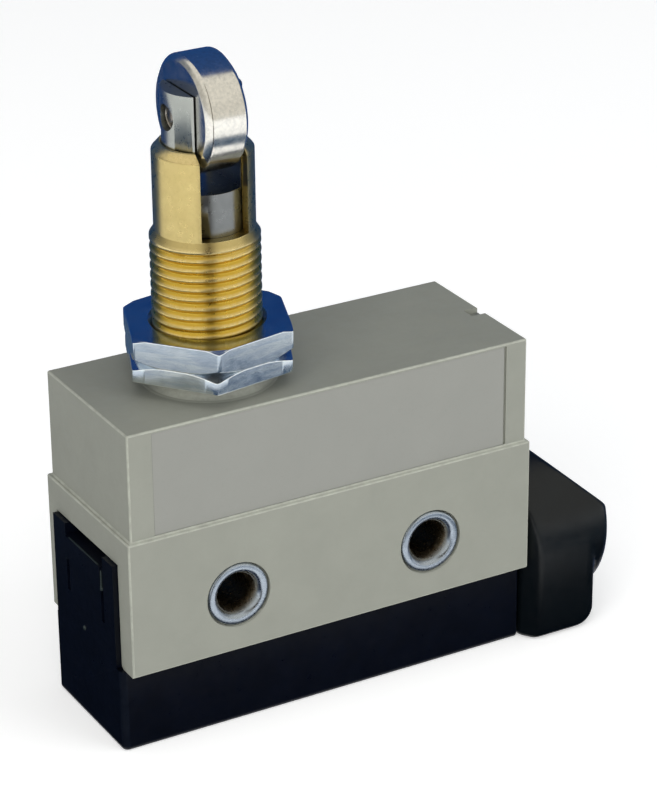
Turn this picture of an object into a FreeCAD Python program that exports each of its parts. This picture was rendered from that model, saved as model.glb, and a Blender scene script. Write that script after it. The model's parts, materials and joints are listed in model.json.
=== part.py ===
import FreeCAD, Part
import os
import math
import Sketcher
from FreeCAD import Vector, Placement, Rotation

# ---------------------------------------------------------------------------
# Enclosed limit switch with a panel-mount cross-roller plunger.
# Frame: origin at the midpoint of the two side mounting holes, on the
# mid-plane of the case. +X runs along the case towards the cable boot,
# -Y is the front (nameplate) side, +Z is up, along the plunger. Millimetres.
# ---------------------------------------------------------------------------

doc = FreeCAD.newDocument("limit_switch")
sheet = doc.addObject("Spreadsheet::Sheet", "dims")

DIMS = [
    # case
    ("case_left", 26.29, "skirt, left face to origin"),
    ("case_right", 26.36, "skirt, right face to origin"),
    ("case_half_y", 10.63, "skirt, half thickness"),
    ("skirt_bottom", 7.07, "skirt bottom below the hole axis"),
    ("step_level", 9.72, "top of the skirt, foot of the upper block"),
    ("roof_level", 22.82, "top of the upper block"),
    ("block_left", 25.80, "upper block, left face to origin"),
    ("block_right", 25.90, "upper block, right face to origin"),
    ("block_half_y", 10.22, "upper block, half thickness"),
    ("roof_thick", 1.82, "roof thickness"),
    ("cavity_half_x", 24.65, "cavity, half length"),
    ("cavity_half_y", 8.80, "cavity, half thickness"),
    ("lower_cavity_half_y", 8.90, "cavity where the terminal cover enters"),
    ("switch_bottom", 6.40, "underside of the basic switch below the hole axis"),
    ("boss_rad", 7.00, "round seat under the panel nuts"),
    ("boss_level", 24.75, "top of the round seat"),
    ("bush_hole_rad", 6.30, "hole for the bushing"),
    ("pitch_half", 12.70, "half of the mounting hole pitch (25.4)"),
    ("eyelet_hole_rad", 2.55, "hole for the eyelet tube"),
    ("eyelet_recess_rad", 4.05, "recess for the eyelet flange"),
    ("eyelet_flange_thick", 0.60, "eyelet flange thickness, and recess depth"),
    ("window_half_y", 7.65, "left end window, front edge from the centre"),
    ("window_back_y", 8.30, "left end window, back edge from the centre"),
    ("window_top", 6.10, "left end window, top"),
    ("label_left", 22.80, "nameplate recess, left edge to origin"),
    ("label_right", 23.15, "nameplate recess, right edge to origin"),
    ("label_bottom", 9.95, "nameplate recess, lower edge"),
    ("label_top", 22.45, "nameplate recess, upper edge"),
    ("label_depth", 0.30, "nameplate recess depth"),
    ("label_thick", 0.26, "nameplate thickness"),
    ("label_gap", 0.06, "gap around the nameplate"),
    ("notch_x", 23.95, "roof notch, inner end"),
    ("notch_front", 1.35, "roof notch, front edge below the mid-plane"),
    ("notch_width", 1.95, "roof notch width"),
    ("notch_depth", 0.66, "roof notch depth"),
    # eyelets
    ("eyelet_rad", 2.50, "eyelet tube outer radius"),
    ("eyelet_bore_rad", 2.10, "eyelet bore, for an M4 screw"),
    ("eyelet_flange_rad", 3.85, "eyelet flange radius"),
    ("eyelet_lead", 0.75, "lead-in at the eyelet mouth"),
    # terminal cover
    ("cover_bottom", 17.365, "cover underside below the hole axis"),
    ("cover_half_y", 8.79, "cover half thickness"),
    ("cover_left", 26.90, "cover left face to origin"),
    ("cover_right", 26.30, "cover right face to origin"),
    ("cover_rim", 7.09, "cover rim below the hole axis"),
    ("cover_wall", 1.50, "cover wall"),
    ("cover_inner_left", 24.90, "cover chamber left end"),
    ("tongue_half_y", 7.50, "cover end tongue, front edge from the centre"),
    ("tongue_back_y", 8.05, "cover end tongue, back edge from the centre"),
    ("tongue_top", 5.95, "cover end tongue, top"),
    ("latch_top", 4.60, "latch tab, top"),
    ("latch_notch_half_y", 4.85, "notch above the latch tab, half width"),
    ("latch_half_y", 4.50, "latch tab half width"),
    ("latch_proud", 0.22, "latch tab stands proud of the tongue"),
    ("latch_low", 1.80, "lower end of the raised latch edge"),
    ("latch_slot", 0.70, "width of the slots beside the latch"),
    ("latch_slot_len", 4.30, "length of the slots beside the latch"),
    ("boot_window_half_y", 5.60, "window for the boot neck, half width"),
    ("boot_window_low", 15.00, "window for the boot neck, lower edge"),
    ("boot_window_high", 8.00, "window for the boot neck, upper edge"),
    # gasket
    ("gasket_thick", 0.63, "cover gasket thickness"),
    # cable boot
    ("boot_left", 26.46, "boot inner face"),
    ("boot_right", 36.20, "boot block, outer face"),
    ("boot_half_y", 11.10, "boot half thickness"),
    ("boot_block_top", 5.30, "boot block top and barrel axis, below the hole axis"),
    ("barrel_right", 38.30, "barrel end face"),
    ("barrel_rad", 11.00, "barrel radius"),
    ("boot_inner_y", 8.95, "boot inner face, half thickness"),
    ("boot_flare_x", 27.95, "where the boot has flared to its full thickness"),
    ("boot_slope_x", 26.40, "slanted shoulder, start"),
    ("boot_slope_z", 8.70, "slanted shoulder, height at its start"),
    ("boot_slope_deg", 42.5, "slanted shoulder, slope"),
    ("boot_corner", 2.50, "boot lower corner radius"),
    ("boot_edge", 1.10, "boot edge radius"),
    ("barrel_edge", 1.55, "barrel end edge radius"),
    ("cable_rad", 3.30, "cable bore radius"),
    ("cable_level", 11.40, "cable axis below the hole axis"),
    ("flange_left", 23.60, "boot inner flange, inner face"),
    ("flange_half_y", 6.60, "boot inner flange, half width"),
    ("flange_low", 15.70, "boot inner flange, lower edge"),
    ("flange_high", 7.50, "boot inner flange, upper edge"),
    # actuator
    ("axis_x", 10.35, "plunger axis, left of the origin"),
    ("bush_flange_rad", 8.20, "bushing flange radius"),
    ("bush_foot", 19.60, "bushing flange underside"),
    ("thread_rad", 6.25, "thread major radius"),
    ("shank_rad", 6.21, "threaded shank inside the nuts and the seat"),
    ("shank_top", 29.95, "top of that shank"),
    ("thread_top", 40.10, "end of the full thread"),
    ("neck_rad", 5.715, "plain cylinder radius"),
    ("neck_foot", 40.95, "foot of the plain cylinder"),
    ("bush_top", 51.00, "top of the bushing"),
    ("bush_cham", 0.90, "chamfer at the top of the bushing"),
    ("bush_bore_rad", 4.55, "guide bore radius"),
    ("spring_bore_rad", 5.20, "return spring bore radius"),
    ("spring_bore_top", 34.60, "top of the return spring bore"),
    ("bush_slot", 5.80, "roller slot width in the bushing"),
    ("bush_slot_foot", 41.00, "roller slot bottom in the bushing"),
    ("nut_rad", 10.42, "nut corner radius"),
    ("nut_cham_rad", 9.15, "chamfer circle of the nuts"),
    ("lower_nut_thick", 2.12, "lower nut thickness"),
    ("upper_nut_thick", 3.05, "upper nut thickness"),
    ("lower_nut_turn", 7.3, "lower nut orientation, degrees"),
    ("upper_nut_turn", 9.7, "upper nut orientation, degrees"),
    ("plunger_rad", 4.50, "plunger radius"),
    ("plunger_top", 57.30, "top of the clevis ears"),
    ("plunger_foot", 24.50, "bottom of the plunger stem"),
    ("stem_rad", 3.60, "plunger stem radius"),
    ("collar_rad", 5.10, "plunger collar radius"),
    ("collar_top", 34.55, "plunger collar, top face"),
    ("collar_foot", 33.00, "plunger collar, spring face"),
    ("stem_bore_rad", 2.60, "plunger bore for the overtravel spring"),
    ("stem_bore_top", 38.00, "top of the plunger bore"),
    ("ring_level", 39.70, "o-ring level"),
    ("ring_groove_rad", 3.30, "o-ring groove radius"),
    ("ring_groove_half", 0.68, "o-ring groove half width"),
    ("ring_mean_rad", 3.92, "o-ring mean radius"),
    ("ring_sec_rad", 0.58, "o-ring section radius"),
    ("clevis_slot", 5.50, "clevis slot width"),
    ("clevis_floor", 46.05, "clevis slot floor"),
    ("pin_level", 54.30, "roller axis level"),
    ("pin_rad", 1.48, "roller pin radius"),
    ("pin_hole_rad", 1.50, "pin hole radius in the ears"),
    ("pin_half", 3.95, "roller pin, half length"),
    ("roller_rad", 6.70, "roller radius"),
    ("roller_width", 5.20, "roller width"),
    ("roller_bevel", 0.60, "roller rim bevel along the axis"),
    ("roller_bevel_rad", 0.75, "roller rim bevel, radial"),
    ("roller_bore_rad", 1.53, "roller bore radius"),
    ("seat_thick", 0.90, "spring seat thickness"),
    ("seat_bore_rad", 3.85, "spring seat bore radius"),
    ("seat_rad", 5.18, "spring seat outer radius"),
    ("spring_mean_rad", 4.45, "return spring mean radius"),
    ("spring_wire_rad", 0.30, "return spring wire radius"),
    ("spring_turns", 6.0, "return spring turns"),
    ("over_mean_rad", 2.10, "overtravel spring mean radius"),
    ("over_wire_rad", 0.24, "overtravel spring wire radius"),
    ("over_turns", 8.0, "overtravel spring turns"),
    ("pusher_rad", 2.52, "auxiliary pusher, guided part radius"),
    ("pusher_top", 28.00, "auxiliary pusher, top"),
    ("pusher_step", 20.80, "auxiliary pusher, shoulder"),
    ("pusher_tip_rad", 1.60, "auxiliary pusher, tip radius"),
    ("pusher_tip", 18.35, "auxiliary pusher, tip"),
    ("seal_low", 18.60, "diaphragm seal, underside"),
    ("seal_thick", 0.85, "diaphragm seal thickness"),
    ("seal_rad", 7.60, "diaphragm seal radius"),
    ("seal_bore_rad", 1.68, "diaphragm seal bore radius"),
    # basic switch
    ("switch_half_x", 24.60, "basic switch, half length (49.2)"),
    ("switch_half_y", 8.725, "basic switch, half thickness (17.45)"),
    ("switch_split", 5.00, "joint plane of the two switch halves"),
    ("switch_top", 16.90, "basic switch, top"),
    ("switch_floor", 4.00, "floor of the contact chamber"),
    ("switch_room_x", 22.90, "contact chamber, half length"),
    ("switch_room_y", 7.00, "contact chamber, half width"),
    ("switch_ceiling", 15.20, "ceiling of the contact chamber"),
    ("switch_hole_rad", 2.60, "holes through the switch for the eyelets"),
    ("button_rad", 1.75, "switch button radius"),
    ("button_top", 18.30, "switch button, top"),
    ("button_foot", 8.70, "switch button, foot"),
    ("button_flange_rad", 2.60, "switch button flange radius"),
    ("blade_level", 7.50, "snap blade, underside"),
    ("blade_thick", 0.30, "snap blade thickness"),
    ("blade_right", 20.90, "snap blade, pivot end"),
    ("blade_left", 20.30, "snap blade, contact end, left of the origin"),
    ("pivot_x", 20.55, "rolled pivot of the snap blade"),
    ("pivot_rad", 0.35, "rolled pivot radius"),
    ("blade_half_y", 2.20, "snap blade, half width"),
    ("contact_x", 18.60, "contact position, left of the origin"),
    ("contact_rad", 1.50, "contact radius"),
    ("moving_half", 0.75, "moving contact, half height"),
    ("terminal_half_y", 3.20, "terminal plates, half width"),
    ("terminal_thick", 0.80, "terminal sheet thickness"),
    ("terminal_x", 20.50, "outer terminal positions"),
    ("terminal_half_x", 3.40, "terminal plates, half length"),
    ("screw_rad", 1.70, "terminal screw shank radius"),
    ("screw_head_rad", 2.90, "terminal screw head radius"),
    ("screw_head", 1.90, "terminal screw head height"),
    ("screw_len", 5.20, "terminal screw length"),
    ("washer_rad", 3.15, "terminal washer radius"),
    ("washer_thick", 0.50, "terminal washer thickness"),
]
VALUE = {}
for row, (alias, number, note) in enumerate(DIMS, start=1):
    sheet.set("A%d" % row, note)
    sheet.set("B%d" % row, repr(number))
    sheet.setAlias("B%d" % row, alias)
    VALUE[alias] = number
doc.recompute()


class Q:
    """A length with its number and the sheet expression that it comes from."""

    def __init__(self, v, e):
        self.v, self.e = v, e

    @staticmethod
    def of(x):
        return x if isinstance(x, Q) else Q(float(x), "(%s)" % repr(float(x)))

    def __add__(self, o):
        o = Q.of(o)
        return Q(self.v + o.v, "(%s + %s)" % (self.e, o.e))

    __radd__ = __add__

    def __sub__(self, o):
        o = Q.of(o)
        return Q(self.v - o.v, "(%s - %s)" % (self.e, o.e))

    def __rsub__(self, o):
        return Q.of(o) - self

    def __mul__(self, o):
        o = Q.of(o)
        return Q(self.v * o.v, "(%s * %s)" % (self.e, o.e))

    __rmul__ = __mul__

    def __neg__(self):
        return Q(-self.v, "(0 - %s)" % self.e)


def d(alias):
    return Q(VALUE[alias], "dims.%s" % alias)


def bind(obj, prop, q):
    q = Q.of(q)
    obj.setExpression(prop, q.e)


# ---- PartDesign helpers ----------------------------------------------------
def new_body(label):
    b = doc.addObject("PartDesign::Body", label)
    b.Label = label
    return b


def origin_plane(body, role):
    for f in body.Origin.OriginFeatures:
        if f.Role == role:
            return f
    raise RuntimeError("no plane " + role)


def new_sketch(body, name, role, ox=0.0, oy=0.0, oz=0.0):
    sk = body.newObject("Sketcher::SketchObject", name)
    sk.AttachmentSupport = [(origin_plane(body, role), "")]
    sk.MapMode = "FlatFace"
    offs = [Q.of(ox), Q.of(oy), Q.of(oz)]
    sk.AttachmentOffset = Placement(Vector(offs[0].v, offs[1].v, offs[2].v), Rotation())
    for ax, q in zip("xyz", offs):
        if "dims" in q.e:
            bind(sk, ".AttachmentOffset.Base." + ax, q)
    return sk


def add_rect(sk, lx, ly):
    """Rectangle with its lower left corner on the sketch origin."""
    lx, ly = Q.of(lx), Q.of(ly)
    w, t = lx.v, ly.v
    p = [Vector(0, 0, 0), Vector(w, 0, 0), Vector(w, t, 0), Vector(0, t, 0)]
    for i in range(4):
        sk.addGeometry(Part.LineSegment(p[i], p[(i + 1) % 4]), False)
    for i in range(4):
        sk.addConstraint(Sketcher.Constraint("Coincident", i, 2, (i + 1) % 4, 1))
    for i in (0, 2):
        sk.addConstraint(Sketcher.Constraint("Horizontal", i))
    for i in (1, 3):
        sk.addConstraint(Sketcher.Constraint("Vertical", i))
    sk.addConstraint(Sketcher.Constraint("Coincident", 0, 1, -1, 1))
    cx = sk.addConstraint(Sketcher.Constraint("DistanceX", 0, 1, 0, 2, w))
    cy = sk.addConstraint(Sketcher.Constraint("DistanceY", 1, 1, 1, 2, t))
    sk.setExpression("Constraints[%d]" % cx, lx.e)
    sk.setExpression("Constraints[%d]" % cy, ly.e)


def add_circle(sk, r):
    """Circle centred on the sketch origin."""
    r = Q.of(r)
    g = sk.addGeometry(Part.Circle(Vector(0, 0, 0), Vector(0, 0, 1), r.v), False)
    sk.addConstraint(Sketcher.Constraint("Coincident", g, 3, -1, 1))
    c = sk.addConstraint(Sketcher.Constraint("Radius", g, r.v))
    sk.setExpression("Constraints[%d]" % c, r.e)


def add_poly(sk, pts):
    """Closed polygon; every vertex has its own two dimensions from the origin (none negative)."""
    pts = [(Q.of(a), Q.of(b)) for a, b in pts]
    n = len(pts)
    first = sk.GeometryCount
    for i in range(n):
        a, b = pts[i], pts[(i + 1) % n]
        sk.addGeometry(Part.LineSegment(Vector(a[0].v, a[1].v, 0), Vector(b[0].v, b[1].v, 0)), False)
    for i in range(n):
        sk.addConstraint(Sketcher.Constraint("Coincident", first + i, 2, first + (i + 1) % n, 1))
    for i, (a, b) in enumerate(pts):
        if abs(a.v) < 1e-9:
            sk.addConstraint(Sketcher.Constraint("PointOnObject", first + i, 1, -2))
        else:
            c = sk.addConstraint(Sketcher.Constraint("DistanceX", -1, 1, first + i, 1, a.v))
            sk.setExpression("Constraints[%d]" % c, a.e)
        if abs(b.v) < 1e-9:
            sk.addConstraint(Sketcher.Constraint("PointOnObject", first + i, 1, -1))
        else:
            c = sk.addConstraint(Sketcher.Constraint("DistanceY", -1, 1, first + i, 1, b.v))
            sk.setExpression("Constraints[%d]" % c, b.e)


def pad(body, sk, name, length, reverse=False):
    f = body.newObject("PartDesign::Pad", name)
    f.Profile = sk
    f.Length = Q.of(length).v
    bind(f, "Length", length)
    f.Reversed = reverse
    doc.recompute()
    return f


def pocket(body, sk, name, length, reverse=False, midplane=False):
    before = body.Shape.Volume
    f = body.newObject("PartDesign::Pocket", name)
    f.Profile = sk
    f.Length = Q.of(length).v
    bind(f, "Length", length)
    f.Reversed = reverse
    if midplane:
        f.SideType = "Symmetric" if hasattr(f, "SideType") else f.SideType
    doc.recompute()
    if not body.Shape.Volume < before - 1e-4:
        raise RuntimeError("pocket %s cuts nothing" % name)
    return f


def revolve(body, sk, name, axis="V_Axis"):
    f = body.newObject("PartDesign::Revolution", name)
    f.Profile = sk
    f.ReferenceAxis = (sk, [axis])
    f.Angle = 360.0
    doc.recompute()
    return f


def groove(body, sk, name, axis="V_Axis"):
    before = body.Shape.Volume
    f = body.newObject("PartDesign::Groove", name)
    f.Profile = sk
    f.ReferenceAxis = (sk, [axis])
    f.Angle = 360.0
    doc.recompute()
    if not body.Shape.Volume < before - 1e-4:
        raise RuntimeError("groove %s cuts nothing" % name)
    return f


def box_pad(body, name, x0, x1, y0, y1, z0, z1):
    """Block between three pairs of planes, padded upwards from its foot."""
    x0, x1, y0, y1, z0, z1 = [Q.of(q) for q in (x0, x1, y0, y1, z0, z1)]
    sk = new_sketch(body, name + "_outline", "XY_Plane", x0, y0, z0)
    add_rect(sk, x1 - x0, y1 - y0)
    return pad(body, sk, name, z1 - z0)


def box_pocket(body, name, x0, x1, y0, y1, z0, z1):
    """Rectangular pocket between three pairs of planes, cut downwards from its top."""
    x0, x1, y0, y1, z0, z1 = [Q.of(q) for q in (x0, x1, y0, y1, z0, z1)]
    sk = new_sketch(body, name + "_outline", "XY_Plane", x0, y0, z1)
    add_rect(sk, x1 - x0, y1 - y0)
    return pocket(body, sk, name, z1 - z0)


def round_z(body, kind, name, cx, cy, r, z0, z1):
    """Round pad or pocket along Z."""
    z0, z1 = Q.of(z0), Q.of(z1)
    base = z0 if kind == "pad" else z1
    sk = new_sketch(body, name + "_outline", "XY_Plane", cx, cy, base)
    add_circle(sk, r)
    return pad(body, sk, name, z1 - z0) if kind == "pad" else pocket(body, sk, name, z1 - z0)


def round_y(body, name, cx, cz, r, y0, y1):
    """Round pocket along Y, cut from the front plane y0 towards y1 (y0 < y1)."""
    y0, y1 = Q.of(y0), Q.of(y1)
    sk = new_sketch(body, name + "_outline", "XZ_Plane", cx, cz, -y0)
    add_circle(sk, r)
    return pocket(body, sk, name, y1 - y0)


def round_x(body, name, cy, cz, r, x0, x1):
    """Round pocket along X, cut from the plane x1 back towards x0."""
    x0, x1 = Q.of(x0), Q.of(x1)
    sk = new_sketch(body, name + "_outline", "YZ_Plane", cy, cz, x1)
    add_circle(sk, r)
    return pocket(body, sk, name, x1 - x0)


# ---- Part helpers ----------------------------------------------------------
def p_box(name, x0, x1, y0, y1, z0, z1):
    x0, x1, y0, y1, z0, z1 = [Q.of(q) for q in (x0, x1, y0, y1, z0, z1)]
    o = doc.addObject("Part::Box", name)
    bind(o, "Length", x1 - x0)
    bind(o, "Width", y1 - y0)
    bind(o, "Height", z1 - z0)
    bind(o, ".Placement.Base.x", x0)
    bind(o, ".Placement.Base.y", y0)
    bind(o, ".Placement.Base.z", z0)
    return o


def p_cyl(name, cx, cy, z0, z1, r):
    z0, z1 = Q.of(z0), Q.of(z1)
    o = doc.addObject("Part::Cylinder", name)
    bind(o, "Radius", r)
    bind(o, "Height", z1 - z0)
    bind(o, ".Placement.Base.x", cx)
    bind(o, ".Placement.Base.y", cy)
    bind(o, ".Placement.Base.z", z0)
    return o


def p_cyl_x(name, x0, x1, cy, cz, r):
    x0, x1 = Q.of(x0), Q.of(x1)
    o = doc.addObject("Part::Cylinder", name)
    o.Placement = Placement(Vector(0, 0, 0), Rotation(Vector(0, 1, 0), 90))
    bind(o, "Radius", r)
    bind(o, "Height", x1 - x0)
    bind(o, ".Placement.Base.x", x0)
    bind(o, ".Placement.Base.y", cy)
    bind(o, ".Placement.Base.z", cz)
    return o


def p_cut(name, base, tool):
    o = doc.addObject("Part::Cut", name)
    o.Base, o.Tool = base, tool
    return o


def p_fuse(name, shapes):
    o = doc.addObject("Part::MultiFuse", name)
    o.Shapes = shapes
    return o


def p_group(name, shapes):
    """Several separate identical solids kept in one node."""
    o = doc.addObject("Part::Compound", name)
    o.Links = shapes
    return o


NODES = []


def node(obj, label):
    obj.Label = label
    NODES.append(obj)
    return obj


AX = -d("axis_x")

# ===========================================================================
# Housing: skirt, upper block and round nut seat, open downwards
# ===========================================================================
b = new_body("housing")
box_pad(b, "skirt", -d("case_left"), d("case_right"), -d("case_half_y"), d("case_half_y"), -d("skirt_bottom"), d("step_level"))
box_pad(b, "upper_block", -d("block_left"), d("block_right"), -d("block_half_y"), d("block_half_y"), d("step_level") - 0.5, d("roof_level"))
round_z(b, "pad", "nut_seat", AX, 0.0, d("boss_rad"), d("roof_level") - 0.5, d("boss_level"))
box_pocket(b, "cavity", -d("cavity_half_x"), d("cavity_half_x"), -d("cavity_half_y"), d("cavity_half_y"), -d("skirt_bottom"), d("roof_level") - d("roof_thick"))
box_pocket(b, "cover_entry", -d("cavity_half_x"), d("cavity_half_x"), -d("lower_cavity_half_y"), d("lower_cavity_half_y"), -d("skirt_bottom"), -d("switch_bottom"))
round_z(b, "pocket", "bushing_hole", AX, 0.0, d("bush_hole_rad"), d("roof_level") - d("roof_thick") - 0.2, d("boss_level"))
box_pocket(b, "end_window", -d("case_left") - 0.5, -d("cavity_half_x") + 0.2, -d("window_half_y"), d("window_back_y"), -d("skirt_bottom"), d("window_top"))
box_pocket(b, "label_recess", -d("label_left"), d("label_right"), -d("block_half_y") - 0.5, -d("block_half_y") + d("label_depth"), d("label_bottom"), d("label_top"))
box_pocket(b, "roof_notch", d("notch_x"), d("block_right") + 0.5, -d("notch_front"), -d("notch_front") + d("notch_width"), d("roof_level") - d("notch_depth"), d("roof_level") + 0.2)
for tag, sx in (("left", -d("pitch_half")), ("right", d("pitch_half"))):
    round_y(b, "eyelet_hole_" + tag, sx, 0.0, d("eyelet_hole_rad"), -d("case_half_y"), d("case_half_y"))
    round_y(b, "front_recess_" + tag, sx, 0.0, d("eyelet_recess_rad"), -d("case_half_y"), -d("case_half_y") + d("eyelet_flange_thick"))
    round_y(b, "back_recess_" + tag, sx, 0.0, d("eyelet_recess_rad"), d("case_half_y") - d("eyelet_flange_thick"), d("case_half_y"))
node(b, "housing")

# Blank nameplate in its recess on the front of the upper block
plate = p_box("nameplate_plate", -d("label_left") + d("label_gap"), d("label_right") - d("label_gap"), -d("block_half_y") + d("label_depth") - d("label_thick"), -d("block_half_y") + d("label_depth"), d("label_bottom") + d("label_gap"), d("label_top") - d("label_gap"))
node(plate, "nameplate")

# ===========================================================================
# Eyelets: rolled tube rivets through the case, one at each mounting hole
# ===========================================================================
for label, sx in (("eyelet_left", -d("pitch_half")), ("eyelet_right", d("pitch_half"))):
    b = new_body(label)
    sk = new_sketch(b, label + "_section", "XZ_Plane", 0.0, 0.0, 0.0)
    full = 2.0 * d("case_half_y")
    ft = d("eyelet_flange_thick")
    add_poly(sk, [
        (d("eyelet_bore_rad"), d("eyelet_lead")),
        (d("eyelet_bore_rad") + d("eyelet_lead"), 0.0),
        (d("eyelet_flange_rad"), 0.0),
        (d("eyelet_flange_rad"), ft),
        (d("eyelet_rad"), ft),
        (d("eyelet_rad"), full - ft),
        (d("eyelet_flange_rad"), full - ft),
        (d("eyelet_flange_rad"), full),
        (d("eyelet_bore_rad") + d("eyelet_lead"), full),
        (d("eyelet_bore_rad"), full - d("eyelet_lead")),
    ])
    revolve(b, sk, label + "_turned")
    # the section is turned about its own vertical axis, which lies along +Y of the case
    b.Placement = Placement(Vector(sx.v, -VALUE["case_half_y"], 0), Rotation(Vector(1, 0, 0), -90))
    bind(b, ".Placement.Base.x", sx)
    bind(b, ".Placement.Base.y", -d("case_half_y"))
    node(b, label)

# ===========================================================================
# Terminal cover: a tray that closes the wiring chamber, with a latch tongue
# ===========================================================================
b = new_body("terminal_cover")
box_pad(b, "tray", -d("cover_left"), d("cover_right"), -d("cover_half_y"), d("cover_half_y"), -d("cover_bottom"), -d("cover_rim"))
box_pad(b, "end_tongue", -d("cover_left"), -d("cover_inner_left"), -d("tongue_half_y"), d("tongue_back_y"), -d("cover_rim") - 0.5, d("tongue_top"))
box_pocket(b, "chamber", -d("cover_inner_left"), d("cover_right") - d("cover_wall"), -d("cover_half_y") + d("cover_wall"), d("cover_half_y") - d("cover_wall"), -d("cover_bottom") + d("cover_wall"), -d("cover_rim"))
box_pocket(b, "latch_notch", -d("cover_left") - 0.1, -d("cover_inner_left") + 0.1, -d("latch_notch_half_y"), d("latch_notch_half_y"), d("latch_top"), d("tongue_top"))
box_pad(b, "latch_tab", -d("cover_left") - d("latch_proud"), -d("cover_left") + 0.3, -d("latch_half_y"), d("latch_half_y"), d("latch_low"), d("latch_top"))
for tag, s in (("front", -1.0), ("back", 1.0)):
    mid = s * d("latch_half_y")
    box_pocket(b, "latch_slot_" + tag, -d("cover_left") - 0.1, -d("cover_inner_left") + 0.1, mid - 0.5 * d("latch_slot"), mid + 0.5 * d("latch_slot"), d("latch_low") - d("latch_slot_len"), d("latch_low"))
box_pocket(b, "boot_window", d("cover_right") - d("cover_wall") - 0.2, d("cover_right") + 0.2, -d("boot_window_half_y"), d("boot_window_half_y"), -d("boot_window_low"), -d("boot_window_high"))
node(b, "terminal_cover")

# Flat gasket between the cover rim and the underside of the basic switch
gb = p_box("gasket_outer", -d("switch_half_x") + 0.10, d("switch_half_x") - 0.10, -d("cover_half_y") + 0.10, d("cover_half_y") - 0.10, -d("cover_rim"), -d("cover_rim") + d("gasket_thick"))
gi = p_box("gasket_inner", -d("switch_half_x") + 0.62, d("switch_half_x") - 0.62, -d("cover_half_y") + 1.40, d("cover_half_y") - 1.40, -d("cover_rim") - 0.5, -d("cover_rim") + d("gasket_thick") + 0.5)
node(p_cut("gasket_ring", gb, gi), "cover_gasket")

# ===========================================================================
# Cable boot: soft block with a round barrel and a slanted shoulder,
# a neck through the cover wall, an inner flange and the cable bore
# ===========================================================================
blk = p_box("boot_block", d("boot_left"), d("boot_right"), -d("boot_half_y"), d("boot_half_y"), -d("cover_bottom"), -d("boot_block_top"))
doc.recompute()
blk_f = doc.addObject("Part::Fillet", "boot_block_rounded")
blk_f.Base = blk
corner_edges = []
for i, e in enumerate(blk.Shape.Edges, start=1):
    c = e.CenterOfMass
    if abs(c.x - VALUE["boot_right"]) < 1e-3 and abs(c.z + VALUE["cover_bottom"]) < 1e-3:
        corner_edges.append((i, VALUE["boot_corner"], VALUE["boot_corner"]))
    elif abs(c.x - VALUE["boot_right"]) < 1e-3 and abs(abs(c.y) - VALUE["boot_half_y"]) < 1e-3:
        corner_edges.append((i, VALUE["boot_edge"], VALUE["boot_edge"]))
    elif abs(abs(c.y) - VALUE["boot_half_y"]) < 1e-3 and abs(c.z + VALUE["cover_bottom"]) < 1e-3:
        corner_edges.append((i, VALUE["boot_edge"], VALUE["boot_edge"]))
blk_f.Edges = corner_edges
barrel = p_cyl_x("boot_barrel", d("boot_left"), d("barrel_right"), 0.0, -d("boot_block_top"), d("barrel_rad"))
doc.recompute()
barrel_f = doc.addObject("Part::Fillet", "boot_barrel_rounded")
barrel_f.Base = barrel
barrel_f.Edges = [(i, VALUE["barrel_edge"], VALUE["barrel_edge"]) for i, e in enumerate(barrel.Shape.Edges, start=1)
                  if e.Closed and abs(e.CenterOfMass.x - VALUE["barrel_right"]) < 1e-3]
outer = p_fuse("boot_outer", [blk_f, barrel_f])
slope = doc.addObject("Part::Box", "boot_slope")
slope.Length, slope.Width, slope.Height = 60, 60, 30
slope.Placement = Placement(Vector(VALUE["boot_slope_x"], -30, VALUE["boot_slope_z"]), Rotation(Vector(0, 1, 0), VALUE["boot_slope_deg"]), Vector(0, 0, 0))
bind(slope, ".Placement.Base.x", d("boot_slope_x"))
bind(slope, ".Placement.Base.z", d("boot_slope_z"))
# the cutting block starts well before the shoulder, so it removes everything above the slope
back = 20.0
slope.Length = 60 + back
ang = math.radians(VALUE["boot_slope_deg"])
bind(slope, ".Placement.Base.x", d("boot_slope_x") - back * math.cos(ang))
bind(slope, ".Placement.Base.z", d("boot_slope_z") + back * math.sin(ang))
cutter = p_cut("boot_sloped", outer, slope)
neck = p_box("boot_neck", d("flange_left") + 1.0, d("boot_left") + 0.6, -d("boot_window_half_y") + 0.04, d("boot_window_half_y") - 0.04, -d("boot_window_low") + 0.04, -d("boot_window_high") - 0.04)
flange = p_box("boot_flange", d("flange_left"), d("cover_right") - d("cover_wall") - 0.02, -d("flange_half_y"), d("flange_half_y"), -d("flange_low"), -d("flange_high"))
# the inner edges of the block are drawn in towards the cover
reliefs = []
flare = math.atan2(VALUE["boot_half_y"] - VALUE["boot_inner_y"], VALUE["boot_flare_x"] - VALUE["boot_left"])
for tag, s in (("front", -1.0), ("back", 1.0)):
    r = doc.addObject("Part::Box", "boot_relief_" + tag)
    r.Length, r.Width, r.Height = 8, 4, 40
    ux, uy = math.cos(flare), s * math.sin(flare)
    vx, vy = -uy, ux
    k = -4.0 if s < 0 else 0.0
    bx, by = VALUE["boot_left"] - 3 * ux + k * vx, s * VALUE["boot_inner_y"] - 3 * uy + k * vy
    r.Placement = Placement(Vector(bx, by, -25), Rotation(Vector(0, 0, 1), s * math.degrees(flare)), Vector(0, 0, 0))
    bind(r, ".Placement.Base.x", d("boot_left") - (3 * ux - k * vx))
    reliefs.append(r)
drawn_in = p_cut("boot_drawn_front", cutter, reliefs[0])
drawn_in = p_cut("boot_drawn_back", drawn_in, reliefs[1])
whole = p_fuse("boot_whole", [drawn_in, neck, flange])
bore = p_cyl_x("boot_bore", d("flange_left") - 1.0, d("barrel_right") + 1.0, 0.0, -d("cable_level"), d("cable_rad"))
node(p_cut("boot", whole, bore), "cable_boot")

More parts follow.
